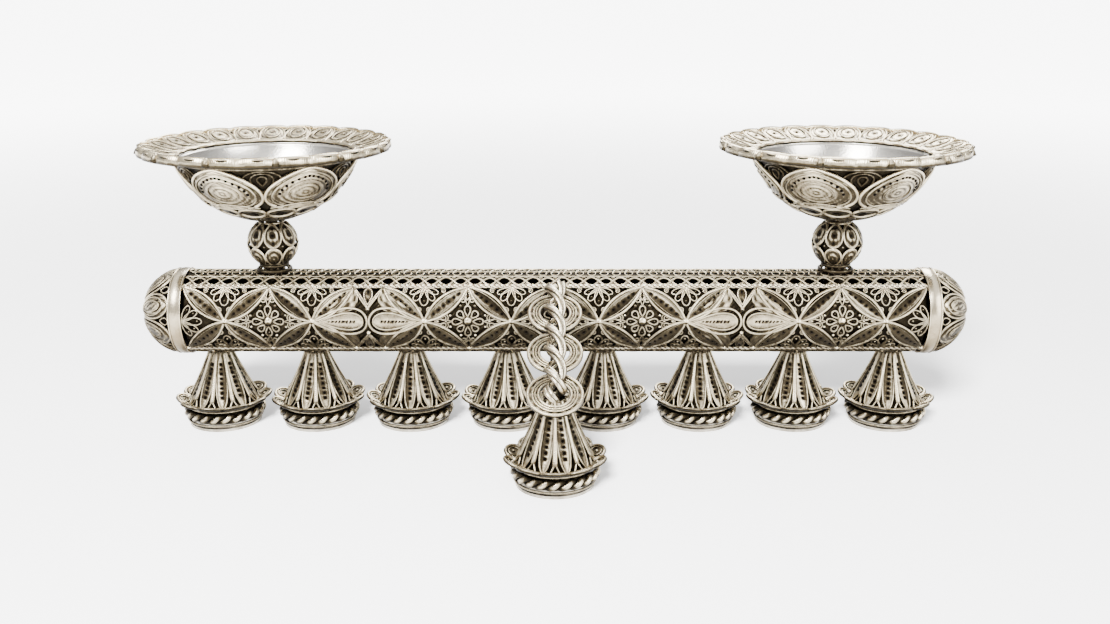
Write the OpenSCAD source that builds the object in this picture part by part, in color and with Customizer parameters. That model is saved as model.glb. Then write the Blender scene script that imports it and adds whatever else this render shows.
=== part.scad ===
// Convertible filigree menorah, standing the way it serves as a pair of candlesticks.
// Turned over, the two bowls are its feet and its nine cups face up for the lights.
// Units are millimetres. The origin is the centre of the whole outline, on the floor.
// +X runs along the beam, -Y points to the servant cup, +Z is up.

/* [Beam] */
// Outer radius of the tubular beam
beam_r = 13.75; // [11:0.25:17]
// Thickness of the beam's filigree sheet
beam_wall = 1.35; // [0.8:0.05:1.8]
// Length of beam beyond the last cup on each side
beam_overhang = 8; // [5:0.5:14]
// Radius of the round rails between the panels
rail_r = 0.8; // [0.5:0.05:0.9]
// Angle of the upper and lower rails from level
rail_angle = 51; // [40:1:60]

/* [Beam ends] */
// Width of the polished collar
collar_w = 4; // [3:0.5:8]
// How far the collar stands proud of the beam
collar_proud = 0.55; // [0.4:0.05:1.5]
// Length of the collar's spigot inside the beam
spigot_len = 7; // [4:0.5:12]
// Wall of the spigot
spigot_wall = 1; // [0.6:0.1:2]
// Length of the domed end
dome_len = 11.4; // [7:0.2:12]
// Wall of the dome
dome_wall = 1; // [0.6:0.1:1.6]
// How much smaller than the collar the dome is
dome_step = 0.9; // [0.3:0.1:2]

/* [Cups] */
// Distance between neighbouring cups
cup_pitch = 32; // [29:1:40]
// Height from the floor to the underside of the beam
cup_h = 25; // [22:0.5:32]
// Outer radius of the cup's rim wall
rim_r = 10.8; // [9:0.1:11.5]
// Thickness of the rim wall
rim_wall = 0.9; // [0.6:0.1:1.5]
// Height of the rim wall
rim_h = 7.4; // [6.6:0.2:10]
// How far the lip that stands on the floor sticks out
lip_out = 1; // [0.4:0.1:1.4]
// Thickness of that lip
lip_t = 0.9; // [0.5:0.1:1.2]
// Radius of the twisted rope round the rim
rope_r = 1.7; // [1:0.1:2]
// Gap between the petals of neighbouring cups
petal_gap = 0.6; // [0.4:0.1:1.2]
// How far the petals rise towards their tips
skirt_rise = 2.2; // [0:0.2:4]
// Thickness of the petal skirt
skirt_t = 0.8; // [0.5:0.1:1.2]
// Radius of the funnel at its wide end
funnel_r = 12.5; // [11.5:0.1:13.2]
// Wall of the funnel
funnel_wall = 0.8; // [0.5:0.1:1.2]
// Radius of the neck that carries the cup
neck_r = 3.3; // [2.5:0.1:4.5]

/* [Small candle holders] */
// Radius of the bore for a small candle
candle_r = 4.75; // [3.5:0.25:5.5]
// Depth of that bore
candle_depth = 9.5; // [7:0.5:11]
// Wall of the candle pipe
pipe_wall = 0.8; // [0.6:0.1:1.2]
// Depth of the dish round the candle
dish_depth = 5; // [4.6:0.2:6]

/* [Servant arm] */
// Distance from the beam's axis forward to the servant cup
servant_reach = 51.2; // [46:0.2:62]
// Slope of the arm below level
arm_slope = 27; // [22:1:30]
// Place on the beam where the arm begins, as an angle above level
arm_start_angle = 33.5; // [30:0.5:38]
// Width of the band of each flat ring
ring_band = 4; // [2.5:0.1:5]
// Thickness of the flat rings
ring_t = 1.2; // [0.8:0.1:2]
// Radius of the twisted rope on the arm
arm_rope_r = 2.6; // [1.8:0.1:3.2]
// How far the rings run past the servant cup's axis
arm_overrun = 8; // [5:0.5:10]
// Width of the strap under the rings
strap_w = 3; // [2:0.2:5]
// Thickness of the strap
strap_t = 0.9; // [0.6:0.1:1.4]
// Width of the tongue that plugs into the beam
tongue_w = 5; // [3:0.5:7]
// Thickness of the tongue
tongue_t = 1.6; // [1:0.1:2]
// How far the tongue lies below the start of the arm
tongue_drop = 3; // [2.6:0.1:3.4]
// Length of the tongue inside the beam
tongue_len = 9; // [6:0.5:10]
// Wall of the socket that takes the tongue
socket_sleeve_wall = 0.8; // [0.6:0.1:1.2]

/* [Candlesticks] */
// Distance of each candlestick from the middle
stick_x = 92; // [76:1:104]
// Radius of the ball in the stem
ball_r = 8.1; // [6:0.1:10]
// Wall of the ball
ball_wall = 0.9; // [0.6:0.1:1.4]
// Radius of the flats where the ball is seated
seat_r = 3.5; // [3.1:0.1:4]
// Radius of the bowl's brim inside the flange
bowl_r = 28.5; // [24:0.5:34]
// Depth of the bowl
bowl_depth = 19.5; // [17:0.5:23]
// Wall of the bowl
bowl_wall = 1; // [0.7:0.1:1.5]
// Wall of the smooth liner
liner_wall = 0.8; // [0.5:0.1:1.2]
// Width of the fluted flange
flange_w = 11.2; // [8:0.2:14]
// How far the flange rises to its edge
flange_rise = 3.9; // [0:0.1:6]
// Thickness of the flange
flange_t = 0.8; // [0.5:0.1:1.2]
// Radius of the bore for a table candle
table_candle_r = 11; // [9.5:0.25:12]
// Depth of that bore
table_candle_depth = 9.6; // [8:0.2:10]
// Wall of the candle socket
socket_wall = 1; // [0.7:0.1:1.6]

/* [Threads and stops] */
// Radius of the bolt through each candlestick
bolt_r = 2; // [1.6:0.1:2.4]
// Radius of the bolt's head
bolt_head_r = 4; // [3.4:0.1:4.6]
// Height of the bolt's head
bolt_head_h = 2; // [1.4:0.1:2.4]
// Radius of the threaded boss in the beam
boss_r = 3.5; // [3.1:0.1:4.5]
// Height of the boss above the beam
boss_up = 1.45; // [1:0.05:3]
// Length of the boss inside the beam
boss_down = 4; // [3:0.5:6]
// Length of bolt engaged in the boss
thread_len = 5.6; // [4:0.1:6]
// Thickness of the loose washer
washer_t = 0.6; // [0.4:0.1:1]

/* [Fits] */
// Radial clearance of the bolts in the bosses
running_fit = 0.05; // [0.02:0.01:0.1]
// Radial clearance of the spigots in the beam
spigot_fit = 0.06; // [0.03:0.01:0.1]
// Clearance round the tongue in its socket
tongue_fit = 0.15; // [0.1:0.05:0.3]
// Gap between pieces that part from each other
part_gap = 0.35; // [0.25:0.05:0.6]

/* [Hidden] */
$fn = 96;
eps = 0.01;
fixed_cups = 8;
sides = ["left", "right"];

// The finish of each kind of piece
wire_silver = [0.70, 0.68, 0.64];
pale_silver = [0.80, 0.79, 0.76];
polished_silver = [0.86, 0.86, 0.85];
dark_silver = [0.48, 0.46, 0.43];

// Beam
axis_z = cup_h + beam_r;
beam_bore_r = beam_r - beam_wall;
beam_half = cup_pitch * (fixed_cups - 1) / 2 + beam_overhang;
rail_seat = 0.1;
rail_c = beam_bore_r + rail_seat + rail_r;
rail_angles = [rail_angle, 180 - rail_angle, 180 + rail_angle, -rail_angle];
collar_r = beam_r + collar_proud;
dome_r = collar_r - dome_step;
dome_round_r = (dome_r * dome_r + dome_len * dome_len) / (2 * dome_len);
dome_centre_x = beam_half + collar_w + dome_len - dome_round_r;

// Cups
skirt_r = (cup_pitch - petal_gap) / 2;
lip_r = rim_r + lip_out;
rope_c = rim_r + 1.2;
rope_z = rim_h - skirt_t - rope_r - 0.5;
pipe_r = candle_r + pipe_wall;
dish_r = rim_r - rim_wall;
dish_floor = 0.8;
pipe_top = dish_depth + candle_depth;

// Servant arm, drawn on its own axes: x along the slope, z square to it, ring plane at z = 0
arm_start = arm_point(beam_r + part_gap, arm_start_angle, arm_slope, ring_t / 2);
arm_len = (servant_reach - arm_start[0]) / cos(arm_slope) + arm_overrun;
ring_count = 3;
ring_gap = 0.1;
ring_pitch = arm_len / ring_count;
ring_r = (ring_pitch - ring_gap) / 2;
tongue_z = arm_start[1] - tongue_drop;
tongue_tip = sqrt(beam_r * beam_r - tongue_z * tongue_z) - tongue_len;
strap_start = 2;

// Candlesticks, from the beam upwards
boss_z = axis_z + beam_r + boss_up;
washer_z = boss_z;
ball_z = washer_z + washer_t;
ball_half = sqrt(ball_r * ball_r - seat_r * seat_r);
ball_top = ball_z + 2 * ball_half;
foot_h = 1.5;
bowl_z = ball_top + foot_h;
bowl_round_r = (bowl_r * bowl_r + bowl_depth * bowl_depth) / (2 * bowl_depth);
bowl_centre_z = bowl_z + bowl_round_r;
brim_z = bowl_z + bowl_depth;
liner_round_r = bowl_round_r - bowl_wall;
inner_round_r = liner_round_r - liner_wall;
flange_in = 2;
socket_r = table_candle_r + socket_wall;
socket_gap = 0.7;
socket_floor = 1;
socket_z = bowl_centre_z - sqrt(inner_round_r * inner_round_r - socket_r * socket_r) + socket_gap;
bore_z = socket_z + socket_floor;
socket_foot_r = bolt_head_r + 1;
head_z = bore_z - bolt_head_h - 0.3;
hole_r = bolt_r + running_fit;

// The outline is centred on the origin from the servant cup to the bowls' edges
flange_r = bowl_r + flange_w;
beam_y = (servant_reach + skirt_r - flange_r) / 2;

cup_names = [for (i = [1:fixed_cups]) str("cup_", i)];

// ---- places ----

// Start of the arm as [forward, up] from the beam's axis, with the rings' lower face clear of the beam
function arm_point(clear_r, start_angle, slope, half_t) =
    [clear_r * cos(start_angle) + half_t * sin(slope), clear_r * sin(start_angle) + half_t * cos(slope)];

function side_sign(side) = side == "left" ? -1 : 1;
function cup_x(i) = (i - (fixed_cups + 1) / 2) * cup_pitch;

module on_beam_line() {
    translate([0, beam_y, 0]) children();
}

// Children are drawn with the beam's axis along +X through their origin
module on_beam_axis() {
    translate([0, beam_y, axis_z]) children();
}

module at_servant() {
    translate([0, beam_y - servant_reach, 0]) children();
}

module on_arm() {
    on_beam_axis() translate([0, -arm_start[0], arm_start[1]])
        rotate([arm_slope, 0, 0]) rotate([0, 0, -90]) children();
}

module at_stick(side) {
    on_beam_line() translate([side_sign(side) * stick_x, 0, 0]) children();
}

// A solid of revolution about +X from a profile drawn as [distance from the axis, distance along it]
module turned_on_x(side) {
    on_beam_axis() rotate([0, side_sign(side) * 90, 0]) rotate_extrude() children();
}

// The solid space inside the beam's outer skin
module beam_skin() {
    on_beam_axis() rotate([0, 90, 0]) cylinder(r = beam_r, h = 2 * beam_half, center = true);
}

// ---- beam ----

module rail_set() {
    on_beam_axis() for (a = rail_angles)
        rotate([a, 0, 0]) translate([0, -rail_c, 0]) rotate([0, 90, 0])
            cylinder(r = rail_r, h = 2 * beam_half, center = true);
}

// A strip of the beam's wall that spans a number of degrees round a middle angle, up from the front
module beam_strip(middle, span) {
    on_beam_axis() rotate([-middle, 0, 0]) rotate([0, 90, 0]) rotate([0, 0, -90 - span / 2])
        translate([0, 0, -beam_half]) rotate_extrude(angle = span)
            translate([beam_bore_r, 0]) square([beam_wall, 2 * beam_half]);
}

module rails() {
    color(pale_silver) rail_set();
}

module main_panels() {
    color(wire_silver) difference() {
        union() for (middle = [0, 180]) beam_strip(middle, 2 * rail_angle);
        rail_set();
        servant_sleeve();
    }
}

module lace_strips() {
    color(wire_silver) difference() {
        union() for (middle = [90, -90]) beam_strip(middle, 180 - 2 * rail_angle);
        rail_set();
        for (s = sides) at_stick(s) translate([0, 0, axis_z]) cylinder(r = boss_r, h = 2 * beam_r);
    }
}

module stem_bosses() {
    color(dark_silver) for (s = sides) at_stick(s)
        translate([0, 0, axis_z + beam_bore_r - boss_down]) difference() {
            cylinder(r = boss_r, h = boss_down + beam_wall + boss_up);
            translate([0, 0, -eps]) cylinder(r = hole_r, h = boss_down + beam_wall + boss_up + 2 * eps);
        }
}

// Block through the front panel that the servant arm's socket fills
module servant_sleeve() {
    half_w = tongue_w / 2 + tongue_fit + socket_sleeve_wall;
    half_t = tongue_t / 2 + tongue_fit + socket_sleeve_wall;
    intersection() {
        on_beam_axis() translate([-half_w, -beam_r - eps, tongue_z - half_t])
            cube([2 * half_w, beam_r - tongue_tip - 1, 2 * half_t]);
        beam_skin();
    }
}

module servant_socket() {
    color(dark_silver) difference() {
        servant_sleeve();
        on_beam_axis() translate([-tongue_w / 2 - tongue_fit, -2 * beam_r, tongue_z - tongue_t / 2 - tongue_fit])
            cube([tongue_w + 2 * tongue_fit, 2 * beam_r, tongue_t + 2 * tongue_fit]);
    }
}

// ---- beam ends ----

module end_collar(side) {
    spigot_r = beam_bore_r - spigot_fit;
    color(polished_silver) turned_on_x(side) {
        translate([spigot_r - spigot_wall, beam_half - spigot_len])
            square([spigot_wall, spigot_len + collar_w]);
        translate([spigot_r - spigot_wall, beam_half])
            square([collar_r - spigot_r + spigot_wall, collar_w]);
    }
}

module end_dome(side) {
    color(wire_silver) turned_on_x(side) intersection() {
        difference() {
            translate([0, dome_centre_x]) circle(r = dome_round_r);
            translate([0, dome_centre_x]) circle(r = dome_round_r - dome_wall);
        }
        translate([0, beam_half + collar_w]) square([collar_r, dome_len + 1]);
    }
}

// ---- cups, drawn mouth down on the floor ----

// Solid cone with its neck, which is trimmed by whatever it is soldered to
module funnel_solid() {
    top = cup_h - 0.6;
    rotate_extrude() polygon([
        [0, rim_h], [funnel_r, rim_h], [funnel_r, rim_h + funnel_wall],
        [neck_r, top], [0, top]
    ]);
    cylinder(r = neck_r, h = cup_h + beam_r / 2);
}

module funnel_hollow() {
    top = cup_h - 0.6;
    rotate_extrude() polygon([
        [0, rim_h - eps], [dish_r, rim_h - eps], [dish_r, rim_h + funnel_wall],
        [funnel_r - funnel_wall, rim_h + funnel_wall],
        [neck_r - funnel_wall, top - funnel_wall], [0, top - funnel_wall]
    ]);
    translate([0, 0, -eps]) cylinder(r = dish_r, h = rim_h + 2 * eps);
}

module funnel() {
    color(wire_silver) on_beam_line() difference() {
        children();
        translate([0, -beam_y, 0]) beam_skin();
    }
}

module cup_funnel(i) {
    funnel() translate([cup_x(i), 0, 0]) difference() {
        funnel_solid();
        funnel_hollow();
    }
}

module servant_funnel() {
    color(wire_silver) difference() {
        at_servant() difference() {
            funnel_solid();
            funnel_hollow();
        }
        on_arm() translate([-arm_len, -arm_len, -ring_t / 2 - strap_t]) cube(3 * arm_len);
    }
}

// Ring of petals, clamped between the rim wall and the funnel
module petal_skirt() {
    color(pale_silver) rotate_extrude() polygon([
        [rim_r, rim_h - skirt_t], [funnel_r - 0.5, rim_h - skirt_t],
        [skirt_r, rim_h - skirt_t + skirt_rise], [skirt_r, rim_h + skirt_rise],
        [funnel_r + 0.1, rim_h], [rim_r, rim_h]
    ]);
}

module rope_ring() {
    color(pale_silver) rotate_extrude() intersection() {
        translate([rope_c, rope_z]) circle(r = rope_r, $fn = 48);
        translate([rim_r, 0]) square(rim_h);
    }
}

// Pressed liner: lip, rim wall, dish floor and candle pipe in one piece
module candle_cup() {
    color(polished_silver) rotate_extrude() difference() {
        union() {
            square([lip_r, lip_t]);
            square([rim_r, rim_h]);
            square([pipe_r, pipe_top + pipe_wall]);
        }
        translate([-1, -1]) square([dish_r + 1, dish_depth + 1]);
        translate([-1, -1]) square([candle_r + 1, pipe_top + 1]);
        translate([pipe_r, dish_depth + dish_floor]) square([dish_r - pipe_r, rim_h]);
    }
}

module cup_skirt(i) {
    on_beam_line() translate([cup_x(i), 0, 0]) petal_skirt();
}

module cup_candle_cup(i) {
    on_beam_line() translate([cup_x(i), 0, 0]) candle_cup();
}

module cup_rope_rings() {
    on_beam_line() for (i = [1:fixed_cups]) translate([cup_x(i), 0, 0]) rope_ring();
}

module servant_skirt() {
    at_servant() petal_skirt();
}

module servant_rope_ring() {
    at_servant() rope_ring();
}

module servant_candle_cup() {
    at_servant() candle_cup();
}

// ---- servant arm ----

module arm_rings() {
    color(wire_silver) on_arm() for (i = [0:ring_count - 1])
        translate([ring_pitch * (i + 1 / 2), 0, 0]) difference() {
            cylinder(r = ring_r, h = ring_t, center = true);
            cylinder(r = ring_r - ring_band, h = ring_t + 2 * eps, center = true);
        }
}

module arm_rope() {
    start = -arm_rope_r / 2;
    color(pale_silver) on_arm() translate([start, 0, ring_t / 2 + arm_rope_r]) rotate([0, 90, 0])
        cylinder(r = arm_rope_r, h = arm_len - 2 * start - 2 * arm_rope_r);
}

// Strap soldered under the rings, with the tongue that plugs into the beam
module arm_bracket() {
    strap_len = arm_len - strap_start - arm_overrun / 2;
    color(dark_silver) difference() {
        union() {
            on_arm() translate([strap_start, -strap_w / 2, -ring_t / 2 - strap_t])
                cube([strap_len, strap_w, strap_t]);
            on_beam_axis() translate([-tongue_w / 2, -tongue_end(), tongue_z - tongue_t / 2])
                cube([tongue_w, tongue_end() - tongue_tip, tongue_t]);
        }
        on_arm() translate([-arm_len, -arm_len, -ring_t / 2]) cube(3 * arm_len);
    }
}

// Forward distance at which the strap's middle crosses the tongue's height
function tongue_end() =
    arm_start[0] + (tongue_drop - (ring_t + strap_t) / 2 * cos(arm_slope)) / tan(arm_slope)
    - (ring_t + strap_t) / 2 * sin(arm_slope) + 0.5;

// ---- candlesticks ----

module stick_washer(side) {
    color(dark_silver) at_stick(side) translate([0, 0, washer_z]) difference() {
        cylinder(r = seat_r + 0.5, h = washer_t);
        translate([0, 0, -eps]) cylinder(r = bolt_r + part_gap, h = washer_t + 2 * eps);
    }
}

// A plain shank stands in for the thread
module stick_bolt(side) {
    tip_z = boss_z - thread_len;
    color(dark_silver) at_stick(side) {
        translate([0, 0, tip_z]) cylinder(r = bolt_r, h = head_z - tip_z);
        translate([0, 0, head_z]) cylinder(r = bolt_head_r, h = bolt_head_h);
    }
}

module bolt_hole(side) {
    at_stick(side) cylinder(r = hole_r, h = brim_z);
}

module stick_ball(side) {
    color(wire_silver) difference() {
        at_stick(side) intersection() {
            translate([0, 0, ball_z + ball_half]) difference() {
                sphere(r = ball_r);
                sphere(r = ball_r - ball_wall);
            }
            translate([0, 0, ball_z]) cylinder(r = 2 * ball_r, h = 2 * ball_half);
        }
        bolt_hole(side);
    }
}

// Part of a round shell with its open side up at the brim
module bowl_shell(outer_r, inner_r) {
    rotate_extrude() intersection() {
        translate([0, bowl_centre_z]) difference() {
            circle(r = outer_r);
            circle(r = inner_r);
        }
        translate([0, bowl_z - foot_h]) square([bowl_round_r, bowl_depth + foot_h]);
    }
}

module stick_bowl(side) {
    color(wire_silver) difference() {
        at_stick(side) {
            bowl_shell(bowl_round_r, liner_round_r);
            difference() {
                translate([0, 0, ball_top]) cylinder(r = seat_r, h = foot_h + bowl_wall);
                translate([0, 0, bowl_centre_z]) sphere(r = liner_round_r);
            }
        }
        bolt_hole(side);
    }
}

module stick_liner(side) {
    color(polished_silver) difference() {
        at_stick(side) bowl_shell(liner_round_r, inner_round_r);
        bolt_hole(side);
    }
}

module stick_flange(side) {
    color(pale_silver) at_stick(side) translate([0, 0, brim_z]) rotate_extrude() polygon([
        [bowl_r - flange_in, 0], [bowl_r, 0],
        [flange_r, flange_rise], [flange_r, flange_rise + flange_t],
        [bowl_r + 0.4, flange_t + 0.1], [bowl_r - flange_in, flange_t]
    ]);
}

module stick_socket(side) {
    color(polished_silver) at_stick(side) difference() {
        union() {
            translate([0, 0, socket_z]) cylinder(r = socket_r, h = socket_floor + table_candle_depth);
            intersection() {
                translate([0, 0, bowl_z]) cylinder(r = socket_foot_r, h = socket_z - bowl_z + eps);
                translate([0, 0, bowl_centre_z]) sphere(r = inner_round_r);
            }
        }
        translate([0, 0, bore_z]) cylinder(r = table_candle_r, h = table_candle_depth + 1);
        translate([0, 0, head_z]) cylinder(r = bolt_head_r + running_fit, h = bolt_head_h + 1);
        cylinder(r = hole_r, h = brim_z);
    }
}

rails();
main_panels();
lace_strips();
stem_bosses();
servant_socket();
cup_rope_rings();
servant_funnel();
servant_skirt();
servant_rope_ring();
servant_candle_cup();
arm_rope();
arm_rings();
arm_bracket();
for (i = [1:fixed_cups]) {
    cup_funnel(i);
    cup_skirt(i);
    cup_candle_cup(i);
}
for (s = sides) {
    end_collar(s);
    end_dome(s);
    stick_washer(s);
    stick_bolt(s);
    stick_ball(s);
    stick_bowl(s);
    stick_liner(s);
    stick_flange(s);
    stick_socket(s);
}
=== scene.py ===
"""Looks of a silver filigree menorah that turns over to serve as two candlesticks.

Lengths inside the classes are millimetres; points become metres when a mesh is made.
"""

import logging
import math
from collections.abc import Callable
from dataclasses import dataclass, field
from enum import Enum

import bpy
import numpy as np
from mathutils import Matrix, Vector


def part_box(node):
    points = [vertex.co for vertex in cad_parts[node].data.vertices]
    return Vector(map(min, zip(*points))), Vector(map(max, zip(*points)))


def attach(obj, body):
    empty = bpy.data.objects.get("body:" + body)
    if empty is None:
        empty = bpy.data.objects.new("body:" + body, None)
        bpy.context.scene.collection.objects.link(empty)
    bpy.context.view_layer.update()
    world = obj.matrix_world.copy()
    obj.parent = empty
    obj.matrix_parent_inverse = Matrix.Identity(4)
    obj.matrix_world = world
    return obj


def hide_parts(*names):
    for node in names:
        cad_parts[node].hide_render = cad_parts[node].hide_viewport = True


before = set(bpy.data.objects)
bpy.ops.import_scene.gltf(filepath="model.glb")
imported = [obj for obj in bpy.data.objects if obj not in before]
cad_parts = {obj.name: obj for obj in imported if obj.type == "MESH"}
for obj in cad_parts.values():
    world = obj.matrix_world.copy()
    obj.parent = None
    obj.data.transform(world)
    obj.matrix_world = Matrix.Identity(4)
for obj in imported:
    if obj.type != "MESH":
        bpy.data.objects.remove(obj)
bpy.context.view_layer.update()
MM = 0.001
# random draws for the painted glints on lobes
PAINTED_GLINT_RANDOM = np.random.default_rng(7)
LOG = logging.getLogger("menorah")
Pair = tuple[np.ndarray, np.ndarray]
Placing = Callable[[np.ndarray, np.ndarray], Pair]
Pattern = Callable[[np.ndarray, np.ndarray], np.ndarray]
BOTH = (-1, 1)
QUARTERS = ((-1, -1), (-1, 1), (1, -1), (1, 1))


def centre(node: str) -> np.ndarray:
    """Middle of a CAD node's box, in mm."""
    low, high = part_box(node)
    return np.array((low + high) / 2) / MM


def lowest(node: str) -> float:
    """Height of a CAD node's underside, in mm."""
    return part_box(node)[0].z / MM


def highest(node: str) -> float:
    """Height of a CAD node's top, in mm."""
    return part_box(node)[1].z / MM


# ---------------------------------------------------------------- finishes


def linear(hex_colour: str) -> tuple[float, float, float, float]:
    """Turns an sRGB hex colour to linear red, green, blue and 1."""
    parts = [int(hex_colour[i : i + 2], 16) / 255 for i in (1, 3, 5)]
    return (*[c / 12.92 if c <= 0.04045 else ((c + 0.055) / 1.055) ** 2.4 for c in parts], 1.0)


def add(
    tree: bpy.types.NodeTree,
    kind: str,
    inputs: dict | None = None,
    stops: tuple[tuple[float, str], ...] = (),
    **settings,
) -> bpy.types.Node:
    """Adds a shader node with its settings, values and links.

    Args:
        tree: the node tree that takes the node.
        kind: Blender's name of the node type.
        inputs: value or output socket for each input, by name or number.
        stops: places and hex colours of a colour ramp.
        settings: attributes of the node itself.

    Returns:
        The node.
    """
    made = tree.nodes.new(kind)
    for name, value in settings.items():
        setattr(made, name, value)
    for key, value in (inputs or {}).items():
        if isinstance(value, bpy.types.NodeSocket):
            tree.links.new(value, made.inputs[key])
        else:
            made.inputs[key].default_value = value
    if stops:
        elements = made.color_ramp.elements
        while len(elements) < len(stops):
            elements.new(0.5)
        for element, (place, colour) in zip(elements, stops):
            element.position = place
            element.color = linear(colour)
    return made


@dataclass(frozen=True)
class SilverFinish:
    """Silver whose recesses keep a dark patina while its crests are rubbed bright.

    The mesh attribute says how far a point was rubbed, 0 in a recess and 1 on a crest, and it also carries
    painted light: painted shade on faces turned down, a painted highlight along each wire's top and painted
    glints on one half of some lobes.
    """

    name: str
    recess: str
    body: str
    crest: str
    rough_recess: float
    rough_crest: float
    blotch_mm: float
    blotch: float
    grain_mm: float
    grain: float
    twist_mm: float = 0.0
    twist: float = 0.0
    body_at: float = 0.45
    tint: str = "#C9BBA4"
    tint_share: float = 0.35
    even_rub: float | None = None

    def material(self) -> bpy.types.Material:
        """Builds the material, or returns the one made before."""
        found = bpy.data.materials.get(self.name)
        if found:
            return found
        made = bpy.data.materials.new(self.name)
        made.use_nodes = True
        tree = made.node_tree
        shader = tree.nodes["Principled BSDF"]
        place = add(tree, "ShaderNodeTexCoord").outputs["Object"]
        blotch, grain, warm = (
            add(tree, "ShaderNodeTexNoise", {"Vector": place, "Scale": 1 / (size * MM), **more}).outputs["Fac"]
            for size, more in (
                (self.blotch_mm, {"Detail": 4.0, "Roughness": 0.6}),
                (self.grain_mm, {"Detail": 2.0}),
                (self.blotch_mm * 2.3, {"Detail": 2.0}),
            )
        )
        # the rub value from the mesh, real wear together with painted shade and highlights, or an even rub
        wear_and_painted_light = self.even_rub
        if wear_and_painted_light is None:
            wear_and_painted_light = add(tree, "ShaderNodeAttribute", attribute_name="rub_and_painted_light").outputs["Fac"]
        # handling rubs patches of crest bright and leaves others grey, with fine specks in both
        for mottle, strength in ((blotch, self.blotch), (grain, self.grain)):
            swing = add(tree, "ShaderNodeMath", {0: mottle, 1: 0.5}, operation="SUBTRACT").outputs[0]
            terms = {0: swing, 1: strength, 2: wear_and_painted_light}
            wear_and_painted_light = add(tree, "ShaderNodeMath", terms, operation="MULTIPLY_ADD").outputs[0]
        stops = ((0.0, self.recess), (self.body_at, self.body), (1.0, self.crest))
        colour = add(tree, "ShaderNodeValToRGB", {0: wear_and_painted_light}, stops).outputs["Color"]
        limits = {"From Min": 0.45, "From Max": 0.75, "To Max": self.tint_share}
        share = add(tree, "ShaderNodeMapRange", {"Value": warm, **limits}).outputs[0]
        layers = {"Factor": share, "A": colour, "B": linear(self.tint)}
        mixed = add(tree, "ShaderNodeMix", layers, data_type="RGBA", blend_type="MULTIPLY")
        tree.links.new(mixed.outputs["Result"], shader.inputs["Base Color"])
        limits = {"To Min": self.rough_recess, "To Max": self.rough_crest}
        rough = add(tree, "ShaderNodeMapRange", {"Value": wear_and_painted_light, **limits}).outputs[0]
        tree.links.new(rough, shader.inputs["Roughness"])
        shader.inputs["Metallic"].default_value = 1.0
        relief = grain
        if self.twist:
            along = add(tree, "ShaderNodeUVMap", uv_map="Wire").outputs[0]
            lay = {"Vector": along, "Scale": 0.5 / self.twist_mm, "Distortion": 0.0}
            bands = add(tree, "ShaderNodeTexWave", lay, wave_type="BANDS", bands_direction="DIAGONAL")
            terms = {0: bands.outputs["Fac"], 1: self.twist, 2: relief}
            relief = add(tree, "ShaderNodeMath", terms, operation="MULTIPLY_ADD").outputs[0]
        bump = add(tree, "ShaderNodeBump", {"Height": relief, "Strength": 0.35, "Distance": 0.12 * MM})
        tree.links.new(bump.outputs[0], shader.inputs["Normal"])
        return made


# Sterling silver wire, drawn, twisted, soldered, blackened and rubbed: black gaps, cream crests.
FILIGREE = SilverFinish(
    "sterling_filigree_blackened_and_rubbed", "#0D0A07", "#3B3427", "#ECDDBC",
    rough_recess=0.60, rough_crest=0.27, blotch_mm=2.2, blotch=0.45, grain_mm=0.4, grain=0.25,
    twist_mm=0.5, twist=0.8, body_at=0.47,
)
# The same wire where fingers polish it most: ribs, rails and ropes, nearly white on top.
BRIGHT_WIRE = SilverFinish(
    "sterling_wire_rubbed_bright", "#0A0805", "#453B2C", "#F4E7CA",
    rough_recess=0.55, rough_crest=0.22, blotch_mm=3.2, blotch=0.5, grain_mm=0.5, grain=0.2,
    twist_mm=0.7, twist=0.5, body_at=0.42,
)
# Sheet silver, spun and burnished: an even shine with faint handling blooms and fine specks.
BURNISHED = SilverFinish(
    "sterling_sheet_spun_and_burnished", "#241F18", "#857861", "#F8EBCD",
    rough_recess=0.5, rough_crest=0.22, blotch_mm=9.0, blotch=0.4, grain_mm=0.8, grain=0.1, tint_share=0.25,
)
# The liner is spun too but washed often: paler and cooler, with soft water blooms.
WASHED = SilverFinish(
    "sterling_sheet_spun_and_washed", "#24221E", "#8C877C", "#F7F3EA",
    rough_recess=0.45, rough_crest=0.2, blotch_mm=8.0, blotch=0.35, grain_mm=0.8, grain=0.1, tint_share=0.08,
)
# Dark silver on plain turned fittings, rubbed evenly: bolts, washers, bosses and the bracket.
FITTING = SilverFinish(
    "sterling_turned_fitting_darkened", "#0B0907", "#332D24", "#988E7B",
    rough_recess=0.6, rough_crest=0.35, blotch_mm=4.0, blotch=0.9, grain_mm=0.5, grain=0.3, even_rub=0.5,
)
# Turned candle cups and sockets: plain silver, wiped clean, a soft shine with grey blooms.
CLEAN_CUP = SilverFinish(
    "sterling_cup_turned_and_wiped", "#1B1813", "#5F584B", "#EAE3D4",
    rough_recess=0.5, rough_crest=0.28, blotch_mm=6.0, blotch=0.7, grain_mm=0.7, grain=0.2, even_rub=0.62,
)


class Slot(Enum):
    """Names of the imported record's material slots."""

    FILIGREE = "filigree_silver"
    BRIGHT = "bright_wire"
    POLISHED = "polished_silver"


# ---------------------------------------------------------------- surfaces that wires are laid on


class Ground:
    """A surface that carries wirework: at(u, v, h) is the point h mm above place (u, v)."""

    def at(self, u: np.ndarray, v: np.ndarray, h: np.ndarray | float = 0.0) -> np.ndarray:
        """Returns points for places u, v and height h."""
        raise NotImplementedError

    def up(self, u: np.ndarray, v: np.ndarray) -> np.ndarray:
        """Returns the outward unit normal at u, v."""
        return self.at(u, v, 1.0) - self.at(u, v, 0.0)


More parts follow.
